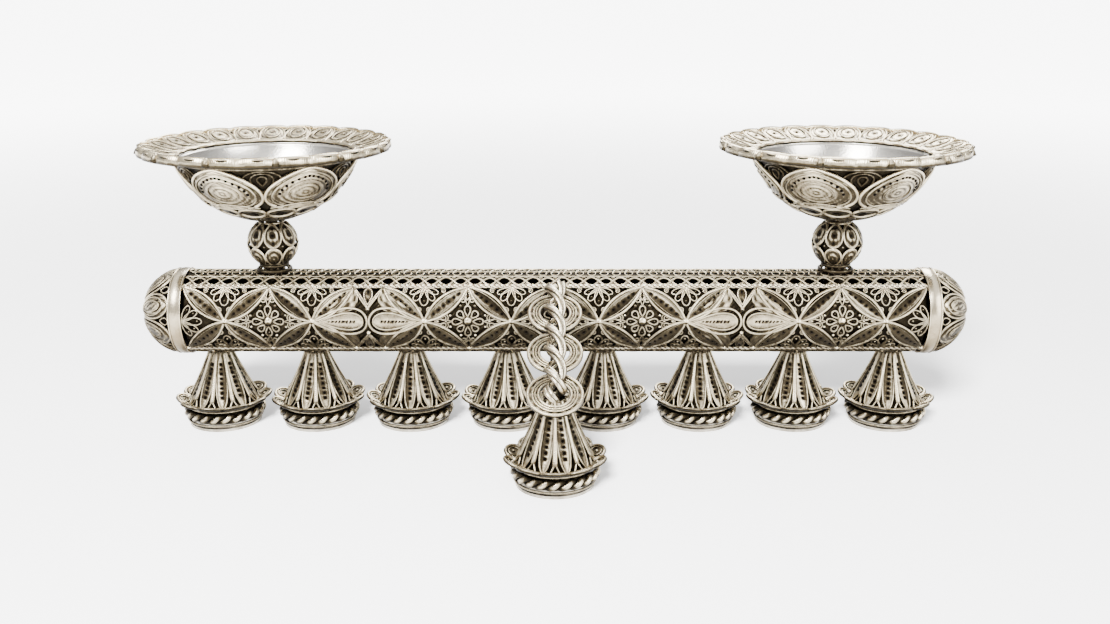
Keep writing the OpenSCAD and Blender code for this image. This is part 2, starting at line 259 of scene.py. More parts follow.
@dataclass(frozen=True)
class Barrel(Ground):
    """Tube about an axis along X: u is x and v the arc length from a starting line.

    Point = (u, y0 - (R + h) cos a, z0 + (R + h) sin a) with a = turn + sense v / R.
    """

    axis_y: float
    axis_z: float
    radius: float
    turn: float
    sense: float = 1.0

    def at(self, u: np.ndarray, v: np.ndarray, h: np.ndarray | float = 0.0) -> np.ndarray:
        """Returns points for places u, v and height h."""
        angle = self.turn + self.sense * v / self.radius
        reach = self.radius + h
        parts = np.broadcast_arrays(u, self.axis_y - reach * np.cos(angle), self.axis_z + reach * np.sin(angle))
        return np.stack(parts, -1)


@dataclass(frozen=True)
class Turned(Ground):
    """Surface of revolution: u is the angle in radians and v the length along the profile in mm.

    Point = origin + axis z(v) + r(v) (east sin u + south cos u), moved h along the profile's normal.
    """

    origin: np.ndarray
    radii: np.ndarray
    heights: np.ndarray
    axis: np.ndarray = field(default_factory=lambda: np.array([0.0, 0.0, 1.0]))
    south: np.ndarray = field(default_factory=lambda: np.array([0.0, -1.0, 0.0]))
    east: np.ndarray = field(default_factory=lambda: np.array([1.0, 0.0, 0.0]))
    outward: float = 1.0

    @property
    def lengths(self) -> np.ndarray:
        """Length along the profile at each of its points."""
        steps = np.hypot(np.diff(self.radii), np.diff(self.heights))
        return np.concatenate([[0.0], np.cumsum(steps)])

    @property
    def length(self) -> float:
        """Whole length of the profile."""
        return float(self.lengths[-1])

    def at(self, u: np.ndarray, v: np.ndarray, h: np.ndarray | float = 0.0) -> np.ndarray:
        """Returns points for places u, v and height h."""
        along = self.lengths
        dr, dz = np.gradient(self.radii, along), np.gradient(self.heights, along)
        size = np.hypot(dr, dz) * self.outward
        radius = np.interp(v, along, self.radii) + h * np.interp(v, along, dz / size)
        height = np.interp(v, along, self.heights) - h * np.interp(v, along, dr / size)
        u, radius, height = (x[..., None] for x in np.broadcast_arrays(u, radius, height))
        return self.origin + self.axis * height + radius * (self.east * np.sin(u) + self.south * np.cos(u))


@dataclass(frozen=True)
class Flat(Ground):
    """Plane: point = origin + u across + v along + h facing."""

    origin: np.ndarray
    across: np.ndarray
    along: np.ndarray
    facing: np.ndarray

    def at(self, u: np.ndarray, v: np.ndarray, h: np.ndarray | float = 0.0) -> np.ndarray:
        """Returns points for places u, v and height h."""
        u, v, h = (x[..., None] for x in np.broadcast_arrays(u, v, h))
        return self.origin + u * self.across + v * self.along + h * self.facing


# ---------------------------------------------------------------- shapes in the plane


@dataclass(frozen=True)
class Lobe:
    """A leaf, drop or oval from x 0 to x 1 whose half width is proportional to x^start (1 - x)^end.

    The half width is scaled so that its greatest value is 1.
    """

    start: float
    end: float

    def half(self, x: np.ndarray) -> np.ndarray:
        """Half width at x."""
        top = self.start / (self.start + self.end)
        peak = top**self.start * (1 - top) ** self.end
        return np.clip(x, 0, 1) ** self.start * np.clip(1 - x, 0, 1) ** self.end / peak

    def outline(self, points: int) -> Pair:
        """Closed outline as x and y, denser towards the tips."""
        turn = np.linspace(0, 2 * np.pi, points, endpoint=False)
        x = (1 - np.cos(turn)) / 2
        return x, np.sign(np.sin(turn)) * self.half(x)

    def inside(self, rows: int, columns: int) -> Pair:
        """Grid of x and y over the whole lobe."""
        x = (1 - np.cos(np.linspace(0.12, np.pi - 0.12, rows))) / 2
        share = np.linspace(-1, 1, columns)
        return np.repeat(x[:, None], columns, 1), self.half(x)[:, None] * share[None, :]


LEAF = Lobe(1.0, 1.0)
OVAL = Lobe(0.5, 0.5)
DROP = Lobe(1.1, 0.5)
LONG_DROP = Lobe(0.85, 0.5)
GORE = Lobe(0.55, 0.5)
TONGUE = Lobe(0.8, 0.5)


def circle(points: int = 14) -> Pair:
    """Closed circle of radius 1 about 0, 0 as x and y."""
    turn = np.linspace(0, 2 * np.pi, points, endpoint=False)
    return np.cos(turn), np.sin(turn)


def curl(turns: float, points: int, inner: float = 0.2) -> Pair:
    """Spiral whose radius grows evenly from inner to 1 over the given turns."""
    share = np.linspace(0, 1, points)
    reach = inner + (1 - inner) * share
    return reach * np.cos(2 * np.pi * turns * share), reach * np.sin(2 * np.pi * turns * share)


def coil(middle: float, reach: float, turns: float, beads: int = 0) -> Pattern:
    """Wire coiled inside a lobe: ridges at even distances from a point on its middle line.

    Height = 0.5 + 0.5 cos(2 pi turns d), d = sqrt(((x - middle) / reach)^2 + share^2), and beads
    lower the ridges by up to half that many times round.

    Args:
        middle: x of the coil's middle.
        reach: distance in x over which d grows by 1.
        turns: ridges up to d = 1.
        beads: lumps round each ridge.

    Returns:
        The height from 0 to 1 over x and the share of the half width.
    """

    def height(x: np.ndarray, share: np.ndarray) -> np.ndarray:
        """Gives the height."""
        ridge = np.cos(np.sqrt(((x - middle) / reach) ** 2 + share**2) * 2 * np.pi * turns)
        if beads:
            ridge = ridge * (0.75 + 0.25 * np.cos(np.arctan2(share, x - middle) * beads))
        return 0.5 + 0.5 * ridge

    return height


def spread(values: np.ndarray, x: np.ndarray) -> np.ndarray:
    """Puts K values on a new leading axis, so that they combine with an array x."""
    return np.reshape(values, (-1,) + (1,) * np.ndim(x))


def between(starts: np.ndarray, ends: np.ndarray, half: float) -> Placing:
    """Placing of a shape so that x runs from each start to its end and y is half mm wide.

    Args:
        starts: (K, 2) places where x is 0.
        ends: (K, 2) places where x is 1.
        half: millimetres for y = 1.

    Returns:
        A function of x and y that gives u and v with a leading axis of K.
    """
    starts, ends = np.atleast_2d(starts).astype(float), np.atleast_2d(ends).astype(float)
    run = ends - starts
    side = np.stack([-run[:, 1], run[:, 0]], -1) / np.linalg.norm(run, axis=1, keepdims=True) * half

    def place(x: np.ndarray, y: np.ndarray) -> Pair:
        """Gives u and v."""
        u, v = (spread(starts[:, i], x) + x * spread(run[:, i], x) + y * spread(side[:, i], x) for i in (0, 1))
        return u, v

    return place


def around(places: np.ndarray, size: float) -> Placing:
    """Placing of a shape about each of K places, scaled by size mm."""
    places = np.atleast_2d(places).astype(float)

    def place(x: np.ndarray, y: np.ndarray) -> Pair:
        """Gives u and v."""
        return spread(places[:, 0], x) + x * size, spread(places[:, 1], x) + y * size

    return place


def gores(turns: np.ndarray, half_angle: float, low: float, high: float) -> Placing:
    """Placing on a surface of revolution: x runs from low to high along the profile, y spans half_angle."""

    def place(x: np.ndarray, y: np.ndarray) -> Pair:
        """Gives angle and length."""
        return spread(turns, x) + y * half_angle, low + (high - low) * x + 0 * spread(turns, x)

    return place


def fan(count: int, first: float = 0.0) -> np.ndarray:
    """Angles of count places evenly round a circle, the first at first."""
    return first + np.arange(count) * 2 * np.pi / count


def upright(node: str, radii: np.ndarray, heights: np.ndarray, outward: float = 1.0) -> Turned:
    """Surface of revolution about the vertical line through the middle of a CAD node."""
    middle = centre(node)
    return Turned(np.array([middle[0], middle[1], 0.0]), radii, heights, outward=outward)


# ---------------------------------------------------------------- mesh gathering


@dataclass(frozen=True)
class Gauge:
    """Section of a wire: width and thickness in mm, height of its middle, corners, and rub below and on top,
    whose spread also paints a highlight along the wire's top.
    """

    width: np.ndarray | float
    thick: float
    lift: float = 0.0
    sides: int = 4
    rub_and_painted_light: tuple[float, float] = (0.1, 1.0)


PETAL_WIRE = Gauge(0.5, 0.75, 0.05)
CURL_WIRE = Gauge(0.52, 0.7, 0.05)
FINE_WIRE = Gauge(0.42, 0.6)


def painted_shade_by_facing(rub_and_painted_light: np.ndarray, facing: np.ndarray) -> np.ndarray:
    """Painted shade and light by facing: rub times 0.76 + 0.48 of the direction's rise, so faces turned down
    are painted darker and faces turned up lighter, as if lit from above.
    """
    size = np.linalg.norm(facing, axis=-1) + 1e-12
    return rub_and_painted_light * np.clip(0.76 + 0.48 * facing[..., 2] / size, 0.25, 1.15)


@dataclass
class Bench:
    """Gathers wires and plates of one piece as whole arrays and makes the mesh."""

    points: list[np.ndarray] = field(default_factory=list)
    quads: list[np.ndarray] = field(default_factory=list)
    wraps: list[np.ndarray] = field(default_factory=list)
    rubs_and_painted_light: list[np.ndarray] = field(default_factory=list)
    count: int = 0

    def keep(self, points: np.ndarray, quads: np.ndarray, wraps: np.ndarray, rub_and_painted_light: np.ndarray) -> None:
        """Adds vertices, their rub, and quads with the wrap coordinates of their corners."""
        self.points.append(points.reshape(-1, 3))
        self.quads.append(quads.reshape(-1, 4) + self.count)
        self.wraps.append(wraps.reshape(-1, 4, 2))
        self.rubs_and_painted_light.append(rub_and_painted_light.reshape(-1))
        self.count += self.points[-1].shape[0]

    def sweep(
        self,
        path: np.ndarray,
        ups: np.ndarray,
        gauge: Gauge,
        closed: bool = False,
        rub_and_painted_light_along: np.ndarray | None = None,
    ) -> None:
        """Carries an elliptical section along K paths of M points.

        Corner = path + width/2 cos(a) side + thick/2 sin(a) up, where side = up x tangent.

        Args:
            path: (K, M, 3) points.
            ups: (K, M, 3) directions that are up for the section.
            gauge: the section, its width and thickness a number or one per path point, its corners even.
            closed: whether each path joins its own start.
            rub_and_painted_light_along: (M,) rub per path point instead of the gauge's, for dots and rope
                strands; on a rope it also paints shade where a strand turns in.
        """
        kinds, steps = path.shape[:2]
        sides = gauge.sides
        if closed:
            tangent = np.roll(path, -1, 1) - np.roll(path, 1, 1)
        else:
            tangent = np.gradient(path, axis=1)
        tangent /= np.linalg.norm(tangent, axis=-1, keepdims=True) + 1e-12
        side = np.cross(ups, tangent)
        side /= np.linalg.norm(side, axis=-1, keepdims=True) + 1e-12
        rise = np.cross(tangent, side)
        angle = np.pi / 2 + 2 * np.pi * np.arange(sides) / sides
        sizes = (gauge.width, gauge.thick)
        wide, deep = (np.broadcast_to(size, (kinds, steps))[..., None, None] / 2 for size in sizes)
        across = wide * np.cos(angle)[:, None] * side[:, :, None]
        ring = path[:, :, None] + across + deep * np.sin(angle)[:, None] * rise[:, :, None]
        # rubbed crest and painted highlight: the top of each section is lighter and its sides darker, and the
        # power narrows this painted highlight line
        low, high = gauge.rub_and_painted_light
        shade = low + (high - low) * (0.5 + 0.5 * np.sin(angle)) ** 1.4
        if rub_and_painted_light_along is not None:
            shade = rub_and_painted_light_along[None, :, None]
        # painted shade: parts of the section that face down are darkened, parts that face up lightened
        shade = painted_shade_by_facing(np.broadcast_to(shade, (kinds, steps, sides)), ring - path[:, :, None])
        spans = steps if closed else steps - 1
        k, i, j = np.meshgrid(np.arange(kinds), np.arange(spans), np.arange(sides), indexing="ij")
        here, there = (k * steps + i) * sides, (k * steps + (i + 1) % steps) * sides
        turn = (j + 1) % sides
        quads = np.stack([here + j, here + turn, there + turn, there + j], -1)
        length = np.linalg.norm(np.roll(path, -1, 1) - path, axis=-1)
        reach = np.concatenate([np.zeros((kinds, 1)), np.cumsum(length, 1)], 1)
        along, beyond = reach[k, i], reach[k, i + 1]
        start, end = j / sides * 1.5, (j + 1) / sides * 1.5
        corners = ((along, start), (along, end), (beyond, end), (beyond, start))
        wraps = np.stack([np.stack(corner, -1) for corner in corners], -2)
        quads, wraps = quads.reshape(-1, 4), wraps.reshape(-1, 4, 2)
        if not closed:
            halves = np.array([[0, i, i + 1, i + 2] for i in range(1, sides - 1, 2)])
            block = np.arange(kinds)[:, None, None] * steps * sides
            caps = (block + halves[:, ::-1], block + (steps - 1) * sides + halves)
            ends = np.concatenate([cap.reshape(-1, 4) for cap in caps])
            quads = np.concatenate([quads, ends])
            wraps = np.concatenate([wraps, np.zeros((len(ends), 4, 2))])
        self.keep(ring, quads, wraps, shade)

    def wire(self, ground: Ground, places: Pair, gauge: Gauge, closed: bool = False) -> None:
        """Lays K wires on a ground along places u, v."""
        u, v = (np.atleast_2d(x) for x in places)
        self.sweep(ground.at(u, v, gauge.lift), ground.up(u, v), gauge, closed)

    def loop(self, ground: Ground, place: Placing, lobe: Lobe, points: int, gauge: Gauge) -> None:
        """Lays a closed wire along the outline of a lobe at each place."""
        self.wire(ground, place(*lobe.outline(points)), gauge, True)

    def scroll(
        self,
        ground: Ground,
        spots: np.ndarray,
        size: float,
        turns: float,
        points: int,
        flip: tuple[int, int],
        gauge: Gauge,
    ) -> None:
        """Lays a spiral wire of size mm about each spot, mirrored by flip in x and in y."""
        x, y = curl(turns, points)
        self.wire(ground, around(spots, size)(x * flip[0], y * flip[1]), gauge)

    def hoop(self, ground: Turned, at: float, points: int, gauge: Gauge) -> None:
        """Lays a closed wire round a surface of revolution, at mm along its profile."""
        ring = fan(points)[None]
        self.wire(ground, (ring, np.full_like(ring, at)), gauge, True)

    def lining(
        self, ground: Turned, span: Pair, grid: tuple[int, int], top: float, bottom: float, rub_and_painted_light: float
    ) -> None:
        """Lays a plate all round a surface of revolution, between two lengths along its profile."""
        u, v = np.meshgrid(fan(grid[0]), np.linspace(*span, grid[1]), indexing="ij")
        self.plate(ground, (u, v), top, bottom, rub_and_painted_light, True)

    def plate(
        self,
        ground: Ground,
        places: Pair,
        top: np.ndarray | float,
        bottom: np.ndarray | float,
        rub_and_painted_light: np.ndarray | float,
        ring: bool = False,
        under: float = 0.05,
    ) -> None:
        """Lays K closed plates, each a grid of places with a top and a bottom height.

        Args:
            ground: the surface below.
            places: u and v, each (K, n, m) or (n, m).
            top: height of the upper face.
            bottom: height of the lower face.
            rub_and_painted_light: rub of the upper face.
            ring: whether the first grid direction closes on itself.
            under: rub of the lower face.
        """
        u, v = places
        if u.ndim == 2:
            u, v = u[None], v[None]
        kinds, n, m = u.shape
        upper, lower = ground.at(u, v, top), ground.at(u, v, bottom)
        over = ground.up(u, v)
        # painted shade: a plate's upper face is darkened where it turns down and lightened where it turns up
        shade = np.stack([painted_shade_by_facing(np.broadcast_to(rub_and_painted_light, u.shape), over), np.full(u.shape, under)], 1)
        spans = n if ring else n - 1

        def faces(*corners: tuple) -> np.ndarray:
            """Quads from corners (face, i, j), where face is 0 for the upper and 1 for the lower one."""
            return np.stack([(layer * n + i % n) * m + j for layer, i, j in corners], -1)

        i, j = (x.ravel() for x in np.meshgrid(np.arange(spans), np.arange(m - 1), indexing="ij"))
        sheets = [
            faces((0, i, j), (0, i + 1, j), (0, i + 1, j + 1), (0, i, j + 1)),
            faces((1, i, j), (1, i, j + 1), (1, i + 1, j + 1), (1, i + 1, j)),
        ]
        i, last = np.arange(spans), m - 1
        sheets.append(faces((0, i + 1, 0), (0, i, 0), (1, i, 0), (1, i + 1, 0)))
        sheets.append(faces((0, i, last), (0, i + 1, last), (1, i + 1, last), (1, i, last)))
        if not ring:
            j, last = np.arange(m - 1), n - 1
            sheets.append(faces((0, 0, j), (0, 0, j + 1), (1, 0, j + 1), (1, 0, j)))
            sheets.append(faces((0, last, j + 1), (0, last, j), (1, last, j), (1, last, j + 1)))
        quads = np.concatenate(sheets)
        row, column = n // 2 - 1, m // 2 - 1
        here = upper[:, row, column]
        facing = np.cross(upper[:, row + 1, column] - here, upper[:, row, column + 1] - here)
        right_way = np.einsum("ki,ki->k", facing, over[:, row, column]) > 0
        turned = np.where(right_way[:, None, None], quads, quads[:, ::-1])
        steps = (np.linalg.norm(np.diff(upper, axis=axis), axis=-1) for axis in (1, 2))
        run, cross = (np.cumsum(step, axis) for axis, step in zip((1, 2), steps))
        run = np.concatenate([np.zeros((kinds, 1, m)), run], 1)
        cross = np.concatenate([np.zeros((kinds, n, 1)), cross], 2)
        coordinates = np.tile(np.stack([run, cross], -1).reshape(kinds, -1, 2), (1, 2, 1))
        numbers = np.arange(kinds)[:, None, None]
        wraps = coordinates[numbers, turned]
        self.keep(np.stack([upper, lower], 1), turned + numbers * 2 * n * m, wraps, shade)

    def dots(
        self, ground: Ground, places: Pair, radius: float, height: float, base: float = 0.0, rub_and_painted_light: float = 1.0
    ) -> None:
        """Lays small round grains: a section of shrinking radius carried straight up from the ground."""
        u, v = (np.atleast_1d(x).ravel() for x in places)
        share = np.array([0.0, 0.45, 0.8, 1.0])
        path = ground.at(u[:, None], v[:, None], base + height * share[None, :])
        up = ground.up(u, v)
        other = np.where(np.abs(up[:, :1]) > 0.8, np.array([[0.0, 1.0, 0.0]]), np.array([[1.0, 0.0, 0.0]]))
        flat = np.repeat(np.cross(up, other)[:, None], len(share), 1)
        wide = 2 * np.broadcast_to(radius, u.shape)[:, None] * np.array([1.0, 0.92, 0.6, 0.12])
        self.sweep(path, flat, Gauge(wide, wide, sides=6), rub_and_painted_light_along=rub_and_painted_light * np.array([0.25, 0.7, 1.0, 1.0]))

    def filled(
        self,
        ground: Ground,
        place: Placing,
        lobe: Lobe,
        size: float,
        rim: float = 0.6,
        fill: float = 0.4,
        holes: int = 5,
        lift: float = 0.0,
        painted_hole_shade: float = 0.0,
        points: int = 36,
        swell: float = 0.35,
        rim_rub: float = 1.0,
        grid: tuple[int, int] = (25, 7),
        hole_size: tuple[float, float] = (0.3, 0.26),
        under: float = 0.05,
        pattern: Pattern | None = None,
        contrast: float = 0.6,
        pit: float = 0.4,
        wear_and_painted_light: float = 0.0,
    ) -> None:
        """Lays lobes with a raised rim wire and a swelling infill that has a row of dark holes, painted shade
        in shallow dips with a black grain in each rather than openings.

        Height of the infill = lift + swell (1 - y^2) less a dip at each hole.

        Args:
            ground: the surface below.
            place: placing of lobe coordinates on the ground.
            lobe: the lobe's shape.
            size: infill thickness in mm.
            rim: width of the rim wire in mm.
            fill: rub of the infill.
            holes: how many holes lie along the middle.
            lift: height of the infill's middle at its edge.
            painted_hole_shade: painted shade inside the holes.
            points: corners of the rim.
            swell: height of the infill's crown in mm.
            rim_rub: rub on the rim's crest.
            grid: rows and columns of the infill.
            hole_size: half length of a hole as a share of the spacing, and half width as a share of the lobe.
            under: rub of the infill's underside.
            pattern: fine wirework of the infill as a height from 0 to 1 over x and the share of the half width.
            contrast: how much the pattern swings the rub.
            pit: radius in mm of the black grain in each hole, painted shade.
            wear_and_painted_light: painted glint, how much brighter one half of a lobe is painted than the
                other, different on each lobe.
        """
        x, y = lobe.inside(*grid)
        share = y / np.maximum(lobe.half(x), 1e-6)
        # painted shade: each hole is a dark spot in a shallow dip, standing for the shade seen through an
        # opening
        dark = np.zeros_like(x)
        middles = np.linspace(0.22, 0.8, holes)
        gap = middles[1] - middles[0] if holes > 1 else 0.3
        for middle in middles:
            hole = ((x - middle) / (gap * hole_size[0])) ** 4 + (share / hole_size[1]) ** 4
            dark = np.maximum(dark, np.exp(-hole))
        crown = lift + swell * (1 - share**2) - 0.35 * dark
        shade = fill * (0.75 + 0.35 * (1 - np.abs(share))) * (1 - dark) + painted_hole_shade * dark
        if pattern is not None:
            fine = pattern(x, share)
            crown = crown + 0.22 * fine
            shade = shade * (1 + contrast * (2 * fine - 1))
        u, v = place(x, y)
        # painted glint: one half of each lobe is painted lighter or darker at random, like light caught on a
        # tilted leaf
        if wear_and_painted_light:
            each = (len(u), 1, 1)
            swing = PAINTED_GLINT_RANDOM.uniform(-1, 1, each) * np.clip(share * 3, -1, 1) + PAINTED_GLINT_RANDOM.uniform(-0.4, 0.4, each)
            shade = shade * (1 + wear_and_painted_light * swing)
        # painted shade: a black grain in each hole
        if holes:
            self.dots(ground, place(middles, 0 * middles), pit, 0.3, lift + swell - 0.3, -0.4)
        self.plate(ground, (u, v), crown, lift - size, shade, under=under)
        self.loop(ground, place, lobe, points, Gauge(rim, rim * 1.25, lift + 0.1, 6, (0.1, rim_rub)))

    def put(self, name: str, finish: SilverFinish, body: str, slot: Slot, *nodes: str) -> bpy.types.Object:
        """Makes the mesh and its object, dresses it and hands it to the frame.

        Args:
            name: name of the piece.
            finish: its finish.
            body: the CAD body that it rides on.
            slot: the record's material slot; not used.
            nodes: CAD nodes that it stands for.

        Returns:
            The object.
        """
        points = np.concatenate(self.points) * MM
        quads = np.concatenate(self.quads)
        mesh = bpy.data.meshes.new(name)
        mesh.vertices.add(len(points))
        mesh.vertices.foreach_set("co", points.astype(np.float32).ravel())
        mesh.loops.add(quads.size)
        mesh.loops.foreach_set("vertex_index", quads.astype(np.int32).ravel())
        mesh.polygons.add(len(quads))
        mesh.polygons.foreach_set("loop_start", np.arange(0, quads.size, 4, dtype=np.int32))
        mesh.update(calc_edges=True)
        mesh.polygons.foreach_set("use_smooth", np.ones(len(quads), bool))
        layer = mesh.uv_layers.new(name="Wire")
        layer.data.foreach_set("uv", np.concatenate(self.wraps).astype(np.float32).ravel())
        # the attribute holds the real rub of crests and recesses together with painted shade and painted
        # highlights
        rub_and_painted_light = mesh.attributes.new("rub_and_painted_light", "FLOAT", "POINT")
        rub_and_painted_light.data.foreach_set("value", np.concatenate(self.rubs_and_painted_light).astype(np.float32))
        mesh.update()
        made = bpy.data.objects.new(name, mesh)
        bpy.context.scene.collection.objects.link(made)
        made.data.materials.append(finish.material())
        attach(made, body)
        if nodes:
            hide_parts(*nodes)
        LOG.info("%s: %d triangles on %s", name, 2 * len(quads), body)
        return made


def dress(node: str, finish: SilverFinish) -> None:
    """Gives a shown CAD node a finish."""
    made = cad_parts[node]
    made.data.materials.clear()
    made.data.materials.append(finish.material())


# ---------------------------------------------------------------- beam


@dataclass
class BeamFiligree:
    """The long tube: two figured panels, two lace strips and four rope rails.

    On a panel u is x and v the distance round the tube from the panel's middle line, both in mm.
    """

    radius: float = 13.75
    half: float = 119.7
    reach: float = 11.3
    nodes_at: tuple[float, ...] = (14.0, 42.0, 78.0, 106.0)
    contacts: tuple[tuple[float, float], ...] = ((0.0, 28.0), (28.0, 55.2), (64.8, 92.0), (92.0, 119.6))
    flowers_at: tuple[float, ...] = (0.0, 28.0, -28.0, 92.0, -92.0)
    wide_at: float = 60.0
    rail_at: float = 13.3
    rail_lay: float = 3.4
    lace_edge: float = 9.3
    lace_line: float = 4.7
    wave_pitch: float = 4.7
    # lean from the fan's middle in degrees, then length and half width of each loop
    hanging_fan: tuple[tuple[float, float, float], ...] = (
        (0, 6.0, 1.35), (36, 5.4, 1.05), (-36, 5.4, 1.05), (66, 4.9, 0.9), (-66, 4.9, 0.9),
    )
    end_fan: tuple[tuple[float, float, float], ...] = (
        (0, 6.4, 1.2), (34, 6.0, 1.0), (-34, 6.0, 1.0), (64, 5.6, 0.9), (-64, 5.6, 0.9),
    )

    def axis(self) -> tuple[float, float]:
        """Depth and height of the tube's axis."""
        middle = centre("rails")
        return float(middle[1]), float(middle[2])

    def ground(self, turn: float, sense: float = 1.0, drop: float = 0.45) -> Barrel:
        """Tube surface on which wires lie, drop mm inside the outer radius."""
        return Barrel(*self.axis(), self.radius - drop, turn, sense)

    def leaves(self, bench: Bench, ground: Ground) -> None:
        """Four leaves from every node to the rails, each with a fine wire inside its rim."""
        runs = np.array(
            [
                (mirror * at, 0.0, mirror * contact, rise * self.reach)
                for at, pair in zip(self.nodes_at, self.contacts)
                for contact in pair
                for mirror, rise in QUARTERS
            ]
        )
        starts, ends = runs[:, :2], runs[:, 2:]
        bench.filled(
            ground, between(starts, ends, 2.6), LEAF, 0.5, rim=0.9, fill=0.52, holes=6, points=40,
            grid=(31, 11), hole_size=(0.36, 0.24), pit=0.5, wear_and_painted_light=0.7,
        )
        bench.loop(ground, between(starts, ends, 1.65), LEAF, 30, Gauge(0.36, 0.5, 0.3, rub_and_painted_light=(0.1, 0.8)))

    def flowers(self, bench: Bench, ground: Ground) -> None:
        """A button with eight petals in each diamond, with curls and dots towards its corners."""
        middles = np.array([(at, 0.0) for at in self.flowers_at])
        petal_wire = Gauge(0.68, 0.85, 0.1)
        for index, turn in enumerate(fan(8)):
            ray = np.array([np.cos(turn), np.sin(turn)])
            long = 5.0 if index % 2 == 0 else 4.4
            bench.loop(ground, between(middles + 1.6 * ray, middles + long * ray, 1.0), DROP, 16, petal_wire)
            bench.dots(ground, (middles + (long - 1.1) * ray).T, 0.3, 0.5, -0.2, 0.5)
        bench.wire(ground, around(middles, 1.75)(*circle(20)), Gauge(0.4, 0.7, 0.15, rub_and_painted_light=(0.1, 0.7)), True)
        bench.dots(ground, middles.T, 1.55, 0.75, -0.25, 0.95)
        for corner, size, turns in ((7.6, 1.5, 1.6), (10.2, 0.9, 1.3)):
            for mirror in BOTH:
                bench.dots(ground, (middles + [mirror * (corner - 0.6), 0]).T, 0.45, 0.6, -0.2, 0.8)
                for rise in BOTH:
                    spots = middles + [mirror * corner, rise * size * 0.85]
                    bench.scroll(ground, spots, size, turns, 16, (mirror, rise), CURL_WIRE)
        for mirror, rise in QUARTERS:
            spots = middles + [mirror * 1.35, rise * 6.9]
            bench.scroll(ground, spots, 1.25, 1.5, 14, (mirror, rise), CURL_WIRE)
            for out, up in ((2.3, 5.0), (5.6, 1.9)):
                bench.dots(ground, (middles + [mirror * out, rise * up]).T, 0.5, 0.6, -0.2, 0.9)
        for rise in BOTH:
            tall = between(middles + [0, rise * 5.1], middles + [0, rise * 10.3], 0.7)
            wide = between(middles + [rise * 5.1, 0], middles + [rise * 12.6, 0], 0.75)
            bench.loop(ground, tall, LEAF, 12, FINE_WIRE)
            bench.loop(ground, wide, LEAF, 12, FINE_WIRE)

    @staticmethod
    def frond(
        bench: Bench, ground: Ground, roots: np.ndarray, ray: np.ndarray, long: float, half: float
    ) -> None:
        """A long loop from each root along a ray, with a dot in its round end."""
        bench.loop(ground, between(roots, roots + long * ray, half), LONG_DROP, 18, PETAL_WIRE)
        bench.dots(ground, (roots + (long - 1.5) * ray).T, 0.4, 0.5, -0.25, 0.6)

    def palmettes(self, bench: Bench, ground: Ground) -> None:
        """Fans of loops that hang from both rails at every node, and half fans at the tube's ends."""
        roots = np.array([mirror * at for at in self.nodes_at for mirror in BOTH])
        for rise in BOTH:
            spots = np.stack([roots, np.full(len(roots), rise * (self.reach - 0.2))], -1)
            for lean, long, half in self.hanging_fan:
                turn = math.radians(lean)
                ray = np.array([math.sin(turn), -rise * math.cos(turn)])
                self.frond(bench, ground, spots, ray, long, half)
            for mirror in BOTH:
                outer, inner = spots + [mirror * 6.1, -rise * 1.0], spots + [mirror * 1.6, -rise * 7.4]
                bench.scroll(ground, outer, 0.95, 1.4, 14, (mirror, rise), FINE_WIRE)
                bench.scroll(ground, inner, 0.9, 1.4, 14, (-mirror, rise), CURL_WIRE)
        inwards = np.array([1.0, -1.0])
        ends = np.stack([-inwards * self.half, 0 * inwards], -1)
        for lean, long, half in self.end_fan:
            turn = math.radians(lean)
            ray = np.stack([inwards * math.cos(turn), np.full(2, math.sin(turn))], -1)
            self.frond(bench, ground, ends, ray, long, half)

    def backing(self, bench: Bench, ground: Ground) -> None:
        """Dark plates behind all cells of the panel, painted shade for the dark inside of the hollow tube seen
        through its openwork.

        A diamond's half height falls evenly to its nodes, and its mesh height is
        0.5 + 0.25 (cos(k (u + v)) + cos(k (u - v))), two crossing rows of fine wire.
        """
        # painted shade: the plates' low rub paints the dark hollow behind the openwork, and the cells' plates
        # also carry a fine wire mesh relief
        top, bottom, inside_shade, wires = -0.85, -1.15, 0.12, 3.6
        cells = [(at, 14.0, 0.0) for at in self.flowers_at] + [(m * self.wide_at, 18.0, 4.8) for m in BOTH]
        for middle, reach, flat in cells:
            u, side = np.meshgrid(np.linspace(-0.95, 0.95, 49) * reach, np.linspace(-1, 1, 25), indexing="ij")
            v = side * (0.94 * self.reach * np.minimum(1, (reach - np.abs(u)) / (reach - flat)))
            mesh = 0.5 + 0.25 * (np.cos((u + v) * wires) + np.cos((u - v) * wires))
            bench.plate(ground, (middle + u, v), -0.9 + 0.3 * mesh, bottom, 0.6 * mesh**2)
        last = self.nodes_at[-1]
        along = np.linspace(last + 0.8, self.half - 0.2, 20)
        u, side = np.meshgrid(along, np.linspace(-1, 1, 19), indexing="ij")
        tall = 0.85 * self.reach * (u - last) / (self.half - last)
        for mirror in BOTH:
            bench.plate(ground, (mirror * u, side * tall), top, bottom, inside_shade)
        share, span = np.meshgrid(np.linspace(0, 0.93, 8), np.linspace(0, 1, 12), indexing="ij")
        for at, (near, far) in zip(self.nodes_at, self.contacts):
            for mirror, rise in QUARTERS:
                rail = near + 1.5 + (far - near - 3.0) * span
                u = mirror * (rail * (1 - share) + at * share)
                v = rise * (self.reach * (1 - share) + 0.4 * share)
                bench.plate(ground, (u, v), top, bottom, inside_shade)

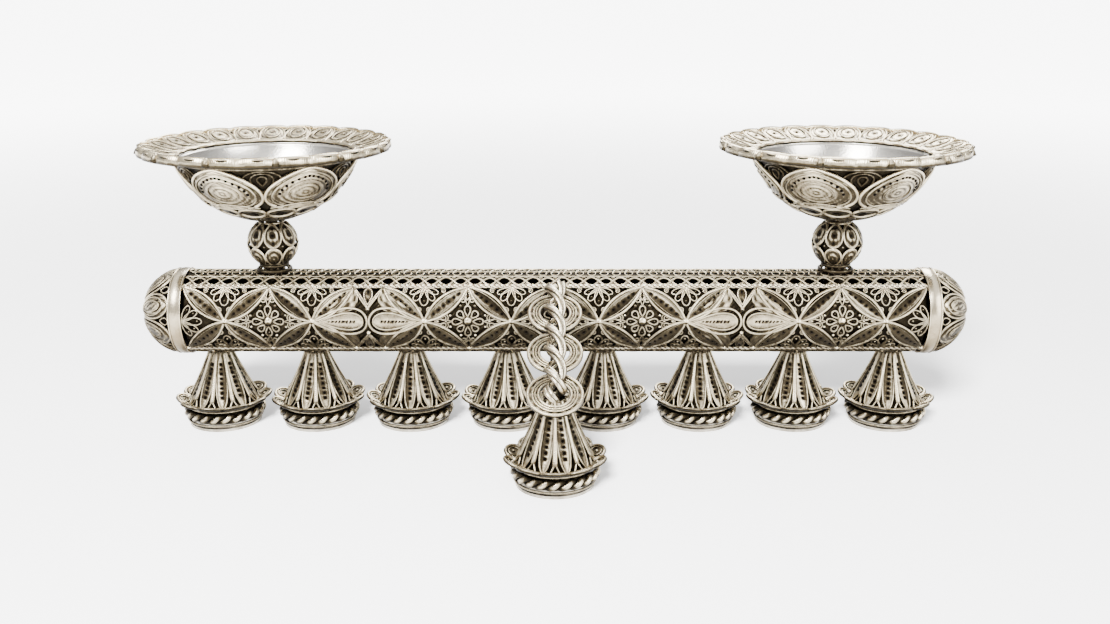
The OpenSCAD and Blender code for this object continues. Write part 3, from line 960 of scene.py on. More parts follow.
    def wide_cells(self, bench: Bench, ground: Ground) -> None:
        """Pairs of teardrops that meet end to end, with chevrons and relief triangles round them."""
        for middle in (-self.wide_at, self.wide_at):
            starts = np.array([(middle - 18.0, 0.0), (middle + 18.0, 0.0)])
            ends = np.array([(middle - 0.3, 0.0), (middle + 0.3, 0.0)])
            bench.loop(ground, between(starts, ends, 4.3), DROP, 48, Gauge(0.85, 1.0, 0.2, 6))
            inner = between(starts + [[2.4, 0], [-2.4, 0]], ends - [[1.3, 0], [-1.3, 0]], 2.75)
            bench.filled(
                ground, inner, DROP, 0.5, rim=0.6, fill=0.9, holes=8, lift=0.15,
                grid=(41, 9), hole_size=(0.32, 0.16),
            )
            for rise in BOTH:
                apex = np.array([middle, rise * 4.2])
                for side in BOTH:
                    foot = np.array([middle + side * 4.8, rise * self.reach])
                    bench.loop(ground, between(foot, apex, 0.3), LEAF, 14, Gauge(0.7, 0.9, 0.15))
                    self.relief(bench, ground, middle, side, rise)
                bench.dots(ground, (np.array([middle]), np.array([rise * 3.9])), 0.75, 0.9, -0.1)
                base = np.array([middle, rise * (self.reach - 0.4)])
                tooth = between(base, apex + [0, rise * 1.2], 1.35)
                bench.filled(
                    ground, tooth, Lobe(0.5, 0.9), 0.4, rim=0.45, fill=0.5, holes=2, grid=(17, 5), points=20
                )

    def relief(self, bench: Bench, ground: Ground, middle: float, side: float, rise: float) -> None:
        """A rippled triangle between a leaf and a teardrop.

        Its outer edge runs straight from foot to tip; its inner edge is the quadratic curve
        (1 - s)^2 foot + 2 s (1 - s) belly + s^2 sag along the teardrop, and rows join the two.
        """
        foot = np.array([middle + side * 4.8, rise * self.reach])
        tip = np.array([middle + side * 17.0, rise * 0.8])
        belly = np.array([middle + side * 1.2, rise * 4.4])
        sag = np.array([middle + side * 7.0, rise * 3.0])
        share, span = np.linspace(0, 1, 17)[:, None], np.linspace(0, 1, 13)[None, :]
        outer = foot + (tip - foot) * share
        inner = (1 - share) ** 2 * (foot - [side * 0.4, 0]) + 2 * share * (1 - share) * belly + share**2 * sag
        grid = outer[:, None] * (1 - span[..., None]) + inner[:, None] * span[..., None]
        ripple = 0.5 + 0.5 * np.sin(span * 17) * np.sin(share * 14)
        bench.plate(ground, (grid[..., 0], grid[..., 1]), 0.45 * ripple, -0.5, 0.3 + 0.6 * ripple)

    def knots(self, bench: Bench, ground: Ground) -> None:
        """Bright grains where the leaves meet each other and the rails."""
        nodes = np.array([mirror * at for at in self.nodes_at for mirror in BOTH])
        bench.dots(ground, (nodes, 0 * nodes), 1.35, 0.95, -0.1)
        feet = np.unique(np.round([mirror * c for pair in self.contacts for c in pair for mirror in BOTH], 3))
        for rise in BOTH:
            bench.dots(ground, (feet, np.full(len(feet), rise * (self.reach - 0.1))), 1.1, 0.9, -0.1)

    def panel(self, name: str, ground: Ground, *nodes: str) -> None:
        """Builds one figured panel."""
        bench = Bench()
        for step in (self.leaves, self.flowers, self.palmettes, self.backing, self.wide_cells, self.knots):
            step(bench, ground)
        x = np.linspace(-self.half, self.half, 120)
        for rise in BOTH:
            bench.wire(ground, (x, np.full_like(x, rise * self.reach)), Gauge(0.55, 0.8))
        bench.put(name, FILIGREE, "beam", Slot.FILIGREE, *nodes)

    def lace(self, name: str, ground: Ground, *nodes: str) -> None:
        """Builds one lace strip: a rippled middle with rings, and crossing waves along both edges.

        A wave wire's place is v = mid + 1.7 sin(pi u / pitch) and, crossing it, mid - 1.7 sin(pi u / pitch).
        """
        bench = Bench()
        edge, line, pitch = self.lace_edge, self.lace_line, self.wave_pitch
        x = np.linspace(-self.half, self.half, 160)
        fine = np.linspace(-self.half, self.half, 620)
        hoops = np.arange(-25, 26) * pitch
        for rise in BOTH:
            bench.wire(ground, (x, np.full_like(x, rise * line)), Gauge(0.6, 0.85, 0.05))
            bench.wire(ground, (x, np.full_like(x, rise * edge)), Gauge(0.5, 0.7))
            mid = rise * (line + edge) / 2
            for sign in BOTH:
                wave = mid + sign * 1.7 * np.sin(np.pi * fine / pitch)
                bench.wire(ground, (fine, wave), Gauge(0.9, 0.9, 0.05 + 0.1 * sign))
            for off in (-1.65, 1.65):
                bench.dots(ground, (hoops, np.full_like(hoops, mid + off)), 0.75, 0.8, -0.25, 0.95)
        along, across = np.linspace(-self.half, self.half, 400), np.linspace(-line + 0.2, line - 0.2, 9)
        u, v = np.meshgrid(along, across, indexing="ij")
        ripple = 0.5 + 0.5 * np.sin(u * 2.9) * np.cos(v * 1.5)
        bench.plate(ground, (u, v), -0.25 + 0.3 * ripple, -0.7, 0.12 + 0.35 * ripple)
        beads = np.arange(-118.0, 118.5, 4.0)
        rings = around(np.stack([beads, 0 * beads], -1), 1.75)
        bench.wire(ground, rings(*circle(14)), Gauge(0.5, 0.8, 0.1), True)
        bench.dots(ground, (beads, 0 * beads), 0.6, 0.7, -0.2)
        for rise in BOTH:
            spots = np.stack([beads + 2.0, np.full_like(beads, rise * 2.9)], -1)
            bench.wire(ground, around(spots, 1.3)(*circle(12)), Gauge(0.45, 0.7, 0.1), True)
        bench.put(name, FILIGREE, "beam", Slot.FILIGREE, *nodes)

    def rails(self) -> None:
        """Four two-strand ropes along the tube, each strand a helix about the rail's line."""
        bench = Bench()
        axis_y, axis_z = self.axis()
        x = np.linspace(-self.half, self.half, 900)
        forward = np.array([1.0, 0, 0])
        for degrees in (51, 129, 231, -51):
            turn = math.radians(degrees)
            outward = np.array([0, -math.cos(turn), math.sin(turn)])
            line = np.array([0, axis_y, axis_z]) + self.rail_at * outward + x[:, None] * forward
            side = np.cross(forward, outward)
            turns = [(x * 2 * np.pi / self.rail_lay + phase)[:, None] for phase in (0, np.pi)]
            path = np.array([line + 0.34 * (np.cos(turn) * outward + np.sin(turn) * side) for turn in turns])
            bench.sweep(path, np.broadcast_to(outward, path.shape), Gauge(1.0, 1.0, sides=6))
        bench.put("rope_rails", BRIGHT_WIRE, "beam", Slot.BRIGHT, "rails")

    def stems(self) -> None:
        """Beaded hoops round the two bosses between the tube and the balls."""
        bench = Bench()
        for ball in ("left_ball", "right_ball"):
            low, high = self.axis()[1] + self.radius + 0.4, lowest(ball)
            cone = upright(ball, np.linspace(5.2, 4.2, 6), np.linspace(low, high, 6))
            for share, width in ((0.05, 1.2), (0.95, 1.0)):
                bench.hoop(cone, share * cone.length, 32, Gauge(width, 1.1, 0.1, 6, (0.0, 0.5)))
            bench.dots(cone, (fan(14), np.full(14, 0.5 * cone.length)), 0.5, 0.6, -0.1, 0.6)
        bench.put("stem_hoops", FILIGREE, "beam", Slot.FILIGREE)

    def build(self) -> None:
        """Builds the tube."""
        self.panel("front_panel", self.ground(0.0), "main_panels")
        self.panel("back_panel", self.ground(np.pi, -1.0))
        self.lace("top_lace", self.ground(np.pi / 2), "lace_strips")
        self.lace("bottom_lace", self.ground(-np.pi / 2))
        self.rails()
        self.stems()
        dress("stem_bosses", FITTING)
        dress("servant_socket", FITTING)


@dataclass
class BeamEnd:
    """A burnished collar and a filigree dome at one end of the tube."""

    side: str
    collar_radius: float = 14.3
    collar_from: float = 120.0
    collar_to: float = 124.0
    dome_radius: float = 13.5
    gores: int = 8

    @property
    def body(self) -> str:
        """CAD body that the pieces ride on."""
        return f"{self.side}_end"

    def turned(self, radii: np.ndarray, reaches: np.ndarray, outward: float) -> Turned:
        """Surface of revolution about the tube's axis, with reaches measured outwards along it."""
        middle = centre(f"{self.side}_collar")
        axis = np.array([1.0 if self.side == "right" else -1.0, 0, 0])
        south, east = np.array([0.0, -1.0, 0.0]), np.array([0.0, 0.0, 1.0])
        return Turned(np.array([0.0, middle[1], middle[2]]), radii, reaches, axis, south, east, outward)

    def collar(self) -> None:
        """A slightly crowned band with a wire at each edge; radius = R - 0.45 + 0.45 sin(pi s)."""
        bench = Bench()
        share = np.linspace(0, 1, 9)
        radii = self.collar_radius - 0.45 + 0.45 * np.sin(np.pi * share)
        crown = self.turned(radii, self.collar_from + share * (self.collar_to - self.collar_from), 1.0)
        bench.lining(crown, (0, crown.length), (96, 9), 0.0, -0.8, 0.72)
        for place in (0.2, crown.length - 0.2):
            bench.hoop(crown, place, 96, Gauge(0.5, 0.7, sides=6))
        bench.put(f"{self.side}_collar_band", BURNISHED, self.body, Slot.POLISHED, f"{self.side}_collar")

    def dome(self) -> None:
        """Eight coiled gores round a button, on a cap of the ball that the dome's rim and rise give."""
        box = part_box(f"{self.side}_dome")
        tip = max(abs(corner.x / MM) for corner in box)
        rise = tip - self.collar_to
        ball = (self.dome_radius**2 + rise**2) / (2 * rise)
        turn = np.linspace(0.06, math.asin(min(1.0, self.dome_radius / ball)), 60)
        dome = self.turned(ball * np.sin(turn), tip - ball + ball * np.cos(turn) - 0.35, -1.0)
        full, half = dome.length, np.pi / self.gores
        at = fan(self.gores, half)
        bench = Bench()
        bench.filled(
            dome, gores(at, half * 0.93, 1.0, full - 0.4), GORE, 0.5, rim=0.8, fill=0.6, holes=0, swell=0.5,
            grid=(21, 11), pattern=coil(0.6, 0.5, 3.0),
        )
        for size, start, end in ((0.68, 3.6, full - 1.9), (0.4, 5.6, full - 3.4)):
            bench.loop(dome, gores(at, half * size, start, end), GORE, 24, Gauge(0.5, 0.7, 0.5))
        gaps = gores(fan(self.gores), half * 0.22, full - 3.4, full - 0.5)
        bench.loop(dome, gaps, TONGUE, 14, Gauge(0.45, 0.6, 0.1))
        bench.hoop(dome, full - 0.2, 40, Gauge(0.8, 0.9, sides=6))
        bench.hoop(dome, 1.3, 40, Gauge(0.6, 0.8, 0.2))
        bench.lining(dome, (0.0, 1.6), (24, 4), 0.3, -0.3, 0.8)
        # painted shade: a near-black lining under the gores stands for the dark inside of the dome
        bench.lining(dome, (0.2, full), (48, 12), -0.9, -1.2, 0.05)
        bench.dots(dome, (np.array([0.0]), np.array([0.0])), 1.0, 0.5, -0.1)
        bench.put(f"{self.side}_dome_wirework", FILIGREE, self.body, Slot.FILIGREE, f"{self.side}_dome")

    def build(self) -> None:
        """Builds the collar band and the dome."""
        self.collar()
        self.dome()


# ---------------------------------------------------------------- cups


@dataclass
class FiligreeCup:
    """One candle cup standing on its lip: funnel, petal skirt and rope ring."""

    key: str
    body: str
    spin: float = 0.0
    base_radius: float = 12.5
    neck_radius: float = 3.3
    panels: int = 10
    petal_root: float = 11.0
    petal_tip: float = 15.4
    ring_radius: float = 12.0
    ring_height: float = 4.4
    rope_turns: int = 11

    @property
    def half(self) -> float:
        """Half the angle that one panel spans."""
        return np.pi / self.panels

    def build(self) -> None:
        """Builds the three pieces and dresses the inner cup."""
        self.funnel()
        self.skirt()
        self.rope()
        dress(f"{self.key}_candle_cup", CLEAN_CUP)

    def funnel(self) -> None:
        """Long drops side by side on a slightly hollow cone, over a dark lining that paints the shade inside
        the cone.

        Radius = base - (base - neck) s - 0.35 sin(pi s) - 0.35 - 0.5 (1 - s), with s from foot to neck.
        """
        node = f"{self.key}_funnel"
        low, high = lowest(node), highest(node)
        share = np.linspace(0, 1, 60)
        straight = self.base_radius - (self.base_radius - self.neck_radius) * share
        flare = straight - 0.35 * np.sin(np.pi * share) - 0.35 - 0.5 * (1 - share)
        cone = upright(node, flare, low + (high - low) * share)
        full, half = cone.length, self.half
        bench = Bench()
        # painted shade: a dark lining under the drops stands for the shade inside the hollow cone
        bench.lining(cone, (0.0, full), (40, 8), -0.75, -1.1, 0.2)
        # a drop's round end is at the foot, so x runs down
        drops = gores(fan(self.panels, self.spin), half * 0.9, full - 0.3, 0.4)
        bench.filled(
            cone, drops, Lobe(0.12, 0.5), 0.4, rim=0.6, rim_rub=0.85, painted_hole_shade=0.06, fill=0.66, holes=8,
            lift=-0.15, swell=0.3, grid=(43, 9), points=44, hole_size=(0.36, 0.42), pit=0.55, wear_and_painted_light=0.35,
        )
        seams = fan(self.panels, self.spin + half)
        places = np.meshgrid(seams, np.linspace(2.6, full - 0.2, 16), indexing="ij")
        bench.wire(cone, places, Gauge(np.linspace(1.7, 0.7, 16), 1.0, 0.4, 8, (0.2, 1.0)))
        foot = np.linspace(0.15, 3.0, 6)
        for lean in BOTH:
            u = seams[:, None] + lean * half * 0.42 * (1 - (foot / 3.0)[None, :]) ** 0.8
            bench.wire(cone, (u, np.broadcast_to(foot, u.shape)), Gauge(0.65, 0.9, 0.2, rub_and_painted_light=(0.2, 1.0)))
        bench.hoop(cone, 0.1, 48, Gauge(0.7, 0.9, 0.1))
        bench.hoop(cone, full - 0.5, 24, Gauge(0.8, 0.9, 0.1, rub_and_painted_light=(0.1, 0.6)))
        bench.put(f"{self.key}_funnel_wirework", FILIGREE, self.body, Slot.FILIGREE, node)

    def skirt(self) -> None:
        """Petals that rise a little outwards, each a rim with a smaller loop and a dot inside."""
        node = f"{self.key}_skirt"
        low, high = lowest(node), highest(node)
        share = np.linspace(0, 1, 30)
        radii = self.petal_root + (self.petal_tip - self.petal_root) * share
        leaf = upright(node, radii, low + 0.7 + (high - low - 1.1) * share**1.3, -1.0)
        full, half = leaf.length, self.half
        at = fan(self.panels, self.spin + half)
        bench = Bench()
        bench.filled(
            leaf, gores(at, half * 0.97, -0.2, full), Lobe(0.4, 0.5), 0.4, rim=0.95, fill=0.5, holes=0,
            swell=0.25, grid=(9, 7), points=26, under=0.3,
        )
        bench.loop(leaf, gores(at, half * 0.6, 0.5, full - 0.9), OVAL, 16, Gauge(0.42, 0.7, 0.35))
        bench.dots(leaf, (at, np.full(len(at), full * 0.5)), 0.6, 0.7, 0.2)
        bench.hoop(leaf, 0.0, 60, Gauge(0.7, 0.8))
        bench.put(f"{self.key}_petal_skirt", FILIGREE, self.body, Slot.FILIGREE, node)

    def rope(self) -> None:
        """Two strands wound round each other and round the rim, between two hoops, on a dark band.

        A strand is at radius R + 0.65 cos(n a + p) and height H + 0.9 sin(n a + p) for angle a, and a whole
        number n of turns closes the ring. It is rubbed bright where it faces out and painted dark, as shade,
        where it turns in behind the other strand.
        """
        node = f"{self.key}_candle_cup"
        middle = centre(node)
        turn = np.linspace(0, 2 * np.pi, 264, endpoint=False)
        out = np.stack([np.sin(turn), -np.cos(turn), 0 * turn], -1)

        def ring(reach: np.ndarray | float, height: np.ndarray | float, step: int = 1) -> np.ndarray:
            """Points round the cup's axis, every step-th of them."""
            line = [middle[0] + reach * np.sin(turn), middle[1] - reach * np.cos(turn), 0 * turn + height]
            return np.stack(line, -1)[None, ::step]

        bench = Bench()
        for phase in (0, np.pi):
            twist = self.rope_turns * turn + phase
            path = ring(self.ring_radius + 0.65 * np.cos(twist), self.ring_height + 0.9 * np.sin(twist))
            # rubbed crest where the strand faces out, painted shade where it turns in behind the other strand
            crest = 0.1 + 0.95 * np.clip(np.cos(twist), 0, 1) ** 1.3
            bench.sweep(path, out[None], Gauge(1.75, 1.75, sides=8), True, crest)
        for reach, height in ((self.ring_radius - 0.2, 6.75), (self.ring_radius + 0.1, 2.0)):
            bench.sweep(ring(reach, height, 3), out[None, ::3], Gauge(0.8, 0.8, 0.0, 6, (0.0, 0.8)), True)
        band = upright(node, np.full(5, 10.9), np.linspace(2.4, 6.6, 5))
        bench.lining(band, (0, band.length), (60, 3), 0.25, 0.02, 0.16)
        stood_for = {"cup_1": ("cup_rope_rings",), "servant": ("servant_rope_ring",)}.get(self.key, ())
        bench.put(f"{self.key}_rope_ring", FILIGREE, self.body, Slot.BRIGHT, *stood_for)


# ---------------------------------------------------------------- servant arm


@dataclass
class ServantArm:
    """Three flat filigree rings in a chain with a thick twisted rope over them."""

    slope: float = 27.0
    rings: int = 3
    ring_pitch: float = 17.32
    ring_radius: float = 8.61
    forward: float = 12.03
    upward: float = 8.32
    rope_height: float = 3.2
    rope_lay: float = 18.0
    rope_end: float = 50.0
    bend_at: float = 36.0
    knee_at: float = 43.5

    def plane(self) -> Flat:
        """Plane of the rings, whose v runs down the arm from where it meets the beam."""
        middle = centre("rails")
        start = np.array([0.0, middle[1] - self.forward, middle[2] + self.upward])
        turn = math.radians(self.slope)
        along = np.array([0.0, -math.cos(turn), -math.sin(turn)])
        facing = np.array([0.0, -math.sin(turn), math.cos(turn)])
        return Flat(start, np.array([1.0, 0.0, 0.0]), along, facing)

    def chain(self, plane: Flat) -> None:
        """Flat rings of four wires each over a rippled plate, with twelve grains."""
        bench = Bench()
        spots = np.array([(0.0, self.ring_pitch * (i + 0.5)) for i in range(self.rings)])
        for inset, width in ((0.55, 1.2), (1.95, 0.6), (2.75, 0.5), (3.75, 1.0)):
            places = around(spots, self.ring_radius - inset)(*circle(48))
            bench.wire(plane, places, Gauge(width, 1.5, 0.15, 6), True)
        reaches = np.linspace(self.ring_radius - 3.7, self.ring_radius - 0.4, 6)
        turn, reach = np.meshgrid(fan(48), reaches, indexing="ij")
        ripple = 0.5 + 0.5 * np.cos(turn * 16)
        grains = self.ring_radius - 2.05
        for x, y in spots:
            places = x + reach * np.sin(turn), y + reach * np.cos(turn)
            bench.plate(plane, places, 0.05 + 0.2 * ripple, -0.5, 0.35 + 0.35 * ripple, True)
            bench.dots(plane, (x + grains * np.sin(fan(12)), y + grains * np.cos(fan(12))), 0.5, 0.7, 0.0)
        bench.put("arm_ring_chain", FILIGREE, "servant_light", Slot.FILIGREE, "arm_rings")

    def rope(self, plane: Flat) -> None:
        """Two strands of three wires each along the arm, bent down through the last ring to the cup.

        The middle line is straight and then the quadratic curve from bend_at by knee_at to the neck.
        A wire = line + 1.85 (cos t across + sin t over) + 0.86 (cos(t + w) across + sin(t + w) over).
        """
        bench = Bench()
        bar = np.linspace(-1.5, self.rope_end, 240)
        begin, knee = (plane.at(0.0, at, self.rope_height) for at in (self.bend_at, self.knee_at))
        neck = centre("servant_funnel") * [1, 1, 0] + [0, 0, highest("servant_funnel") - 0.5]
        bend = np.clip((bar - self.bend_at) / (self.rope_end - self.bend_at), 0, 1)[:, None]
        curve = (1 - bend) ** 2 * begin + 2 * bend * (1 - bend) * knee + bend**2 * neck
        line = np.where(bend > 0, curve, plane.at(0.0, bar, self.rope_height))
        over = np.cross(plane.across, np.gradient(line, axis=0))
        over /= -np.linalg.norm(over, axis=1, keepdims=True)
        over *= np.sign(over @ plane.facing)[:, None]

        def circling(turn: np.ndarray, radius: float) -> np.ndarray:
            """Step of radius mm away from the middle line, turned about it."""
            return radius * (np.cos(turn)[:, None] * plane.across + np.sin(turn)[:, None] * over)

        for phase in (0, np.pi):
            twist = -bar * 2 * np.pi / self.rope_lay + phase
            for wire in (0, 1.9, -1.9):
                path = line + circling(twist, 1.85) + circling(twist + wire, 0.86)
                bench.sweep(path[None], over[None], Gauge(1.7, 1.7, 0.0, 8, (-0.3, 1.0)))
        bench.put("arm_twisted_rope", BRIGHT_WIRE, "servant_light", Slot.BRIGHT, "arm_rope")

    def build(self) -> None:
        """Builds the rings and the rope."""
        plane = self.plane()
        self.chain(plane)
        self.rope(plane)
        dress("arm_bracket", FITTING)


# ---------------------------------------------------------------- candlesticks


@dataclass
class Candlestick:
    """A pierced ball, a lobed bowl with its liner, a fluted flange and a socket."""

    side: str
    ball_radius: float = 8.1
    bowl_outer: float = 30.58
    lobes: int = 6
    flutes: int = 24
    spin: float = 0.0
    ball_spin: float = 0.0

    @property
    def body(self) -> str:
        """CAD body that the pieces ride on."""
        return f"{self.side}_candlestick"

    def build(self) -> None:
        """Builds all pieces of the candlestick."""
        self.ball()
        self.bowl()
        self.liner()
        self.flange()
        dress(f"{self.side}_washer", FITTING)
        dress(f"{self.side}_bolt", FITTING)
        dress(f"{self.side}_socket", CLEAN_CUP)

    def ball(self) -> None:
        """Eight ovals above and eight below, with dark gaps where they meet: a dark lining inside paints the
        shade seen through the piercings.
        """
        node = f"{self.side}_ball"
        low, high = lowest(node), highest(node)
        cut = math.acos(max(-1.0, min(1.0, (high - low) / 2 / self.ball_radius)))
        turn = np.linspace(cut, np.pi - cut, 80)
        radius = self.ball_radius - 0.4
        globe = upright(node, radius * np.sin(turn), (low + high) / 2 - radius * np.cos(turn))
        full, half = globe.length, np.pi / 8
        at = fan(8, self.ball_spin)
        bench = Bench()
        coiled = coil(0.5, 0.5, 2.0)
        bench.filled(
            globe, gores(at, half * 0.94, full - 1.0, full * 0.48), OVAL, 0.4, rim=0.7, fill=0.62, holes=3,
            grid=(25, 9), points=26, swell=0.4, pattern=coiled,
        )
        bench.filled(
            globe, gores(at, half * 0.94, 1.0, full * 0.46), OVAL, 0.4, rim=0.7, rim_rub=1.3, fill=0.75,
            holes=1, grid=(21, 9), points=24, swell=0.4, pattern=coiled,
        )
        # painted shade: a dark lining inside the ball stands for the shade seen through its piercings
        bench.lining(globe, (0.1, full - 0.1), (40, 14), -0.9, -1.2, 0.16)
        for place in (0.5, full - 0.5):
            bench.hoop(globe, place, 32, Gauge(1.0, 1.0, sides=6))
        bench.dots(globe, (fan(8, half + self.ball_spin), np.full(8, full * 0.49)), 0.4, 0.6, -0.4, 0.7)
        bench.put(f"{self.side}_pierced_ball", FILIGREE, self.body, Slot.FILIGREE, node)

    def sphere(self, radius: float, start: float, end: float, rows: int) -> Turned:
        """Part of a sphere about the bowl's own centre, between two angles from its lowest point."""
        node = f"{self.side}_bowl"
        turn = np.linspace(start, end, rows)
        return upright(node, radius * np.sin(turn), lowest(node) + self.bowl_outer - radius * np.cos(turn))

    def brim(self, radius: float) -> float:
        """Angle from the lowest point at which a sphere of a radius reaches the bowl's top."""
        node = f"{self.side}_bowl"
        return math.acos((lowest(node) + self.bowl_outer - highest(node)) / radius)

    def bowl(self) -> None:
        """Broad coiled lobes over a dark gap, a lining painted as the shade between shell and liner, on a band
        of ovals and a star of drops.
        """
        pole = math.asin(3.0 / self.bowl_outer)
        shell = self.sphere(self.bowl_outer - 0.55, pole, self.brim(self.bowl_outer), 120)
        full, half = shell.length, np.pi / self.lobes
        at = fan(self.lobes, half + self.spin)
        low_at, high_at = 18.2, full - 0.5
        egg = Lobe(0.36, 0.66)
        bench = Bench()

        def lobe(share: float) -> Placing:
            """Placing of each broad lobe, shrunk to a share of its size about its middle."""
            trim = (1 - share) * 0.5 * (high_at - low_at)
            return gores(at, half * 0.97 * share, low_at + trim, high_at - trim)

        bench.filled(
            shell, lobe(1.0), egg, 0.4, rim=1.15, rim_rub=1.55, fill=1.2, holes=0, grid=(61, 31), points=56,
            swell=0.4, pattern=coil(0.45, 0.5, 6, 14), contrast=0.35, wear_and_painted_light=0.1,
        )
        for share, width, rub_and_painted_light in ((0.84, 0.6, 1.4), (0.42, 0.5, 1.2)):
            bench.loop(shell, lobe(share), egg, 40, Gauge(width, 0.8, 0.45, rub_and_painted_light=(0.1, rub_and_painted_light)))
        x, y = egg.outline(44)
        u, v = lobe(0.66)(x[x > 0.42], y[x > 0.42])
        bench.dots(shell, (u[:, ::2], v[:, ::2]), 0.55, 0.35, 0.45, -0.4)
        ovals = gores(fan(2 * self.lobes, half / 2 + self.spin), half / 2 * 0.94, 11.8, 17.5)
        bench.filled(
            shell, ovals, OVAL, 0.4, rim=1.0, rim_rub=1.5, fill=0.6, holes=1, grid=(17, 13), points=26,
            hole_size=(1.3, 0.5), pit=1.5,
        )
        arc = np.linspace(-1, 1, 13)
        u = at[:, None] + half * 0.86 * arc[None]
        for arch_at in (17.7, 19.0):
            v = np.broadcast_to(arch_at + 1.6 * (1 - arc[None] ** 2), u.shape)
            bench.wire(shell, (u, v), Gauge(0.7, 0.9, 0.55, 6, (-0.2, 1.3)))
        rays = gores(fan(12, self.spin), np.pi / 12 * 0.9, 0.6, 11.2)
        bench.filled(shell, rays, TONGUE, 0.4, rim=0.6, rim_rub=1.2, fill=0.6, holes=2, grid=(15, 7), points=24)
        bench.hoop(shell, 0.6, 60, Gauge(1.0, 1.0, 0.1, 6))
        bench.hoop(shell, 11.5, 60, Gauge(0.6, 0.8, 0.1))
        for wide, foot, top in ((0.42, 11.5, 0.9), (0.24, 8.5, 1.6), (0.1, 6.0, 2.6)):
            seams = gores(at + half, half * wide, full - foot, full - top)
            bench.loop(shell, seams, Lobe(1.0, 0.5), 24, Gauge(0.6, 0.8, rub_and_painted_light=(0.1, 0.85)))
        bench.hoop(shell, full - 0.3, 120, Gauge(0.9, 0.9, 0.1, 6, (0.1, 0.8)))
        # painted shade: a dark lining under the lobes stands for the shade between the filigree shell and the
        # liner
        bench.lining(shell, (0.3, full), (72, 18), -0.45, -0.6, 0.12)
        bench.put(f"{self.side}_lobed_bowl", FILIGREE, self.body, Slot.FILIGREE, f"{self.side}_bowl")

    def liner(self) -> None:
        """The plain inner bowl with a rolled edge, rubbed evenly."""
        inside = self.bowl_outer - 1.8
        liner = self.sphere(inside, 0.02, self.brim(inside + 0.8), 60)
        bench = Bench()
        bench.lining(liner, (0.0, liner.length), (120, 40), 0.7, 0.0, 0.85)
        bench.hoop(liner, liner.length - 0.1, 120, Gauge(0.8, 0.8, 0.3, 6))
        # the washed liner is evenly bright on both faces: it gets no painted shade on faces turned down
        bench.rubs_and_painted_light = [np.full_like(rub_and_painted_light, 0.85) for rub_and_painted_light in bench.rubs_and_painted_light]
        bench.put(f"{self.side}_spun_liner", WASHED, self.body, Slot.POLISHED, f"{self.side}_liner")

    def flange(self) -> None:
        """Fluted petals round the brim, round end outwards, each with fine loops inside."""
        node = f"{self.side}_flange"
        low, high = lowest(node), highest(node)
        reach = (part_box(node)[1].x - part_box(node)[0].x) / MM / 2
        share = np.linspace(0, 1, 40)
        heights = low + 0.7 + (high - low - 1.3) * share**1.15
        brim = upright(node, 27.3 + (reach - 27.8) * share, heights, -1.0)
        full, half = brim.length, np.pi / self.flutes
        at = fan(self.flutes, self.spin)
        bench = Bench()
        bench.filled(
            brim, gores(at, half * 0.98, 0.0, full), Lobe(0.3, 0.5), 0.5, rim=0.75, fill=0.75, holes=0,
            swell=0.4, grid=(21, 11), points=36, under=0.45, pattern=coil(0.62, 0.45, 2.5), contrast=0.5,
        )
        bench.loop(brim, gores(at, half * 0.6, 2.4, full - 1.8), OVAL, 20, Gauge(0.5, 0.8, 0.5))
        bench.dots(brim, (at, np.full(self.flutes, full * 0.6)), 0.6, 0.6, 0.4)
        gap = at + half
        knobs = gap[::2]
        bench.dots(brim, (knobs, np.full(len(knobs), full - 0.95)), 1.25, 2.9, -1.9)
        ring = fan(self.flutes * 10, self.spin + half)[None]
        # the lip dips 1.1 mm inwards at each gap between two petals
        dip = (1 - np.abs(np.sin((ring - self.spin - half) * self.flutes / 2))) ** 1.5
        bench.wire(brim, (ring, full - 0.5 - 1.1 * dip), Gauge(1.0, 3.2, -0.5, 8, (1.0, 1.2)), True)
        bench.hoop(brim, 0.4, 120, Gauge(0.9, 1.4, 0.1, 6, (0.4, 1.0)))
        bench.loop(brim, gores(gap, half * 0.2, full * 0.45, full - 2.2), LEAF, 12, Gauge(0.45, 0.8, 0.1))
        bench.put(f"{self.side}_fluted_flange", FILIGREE, self.body, Slot.FILIGREE, node)


# ---------------------------------------------------------------- studio


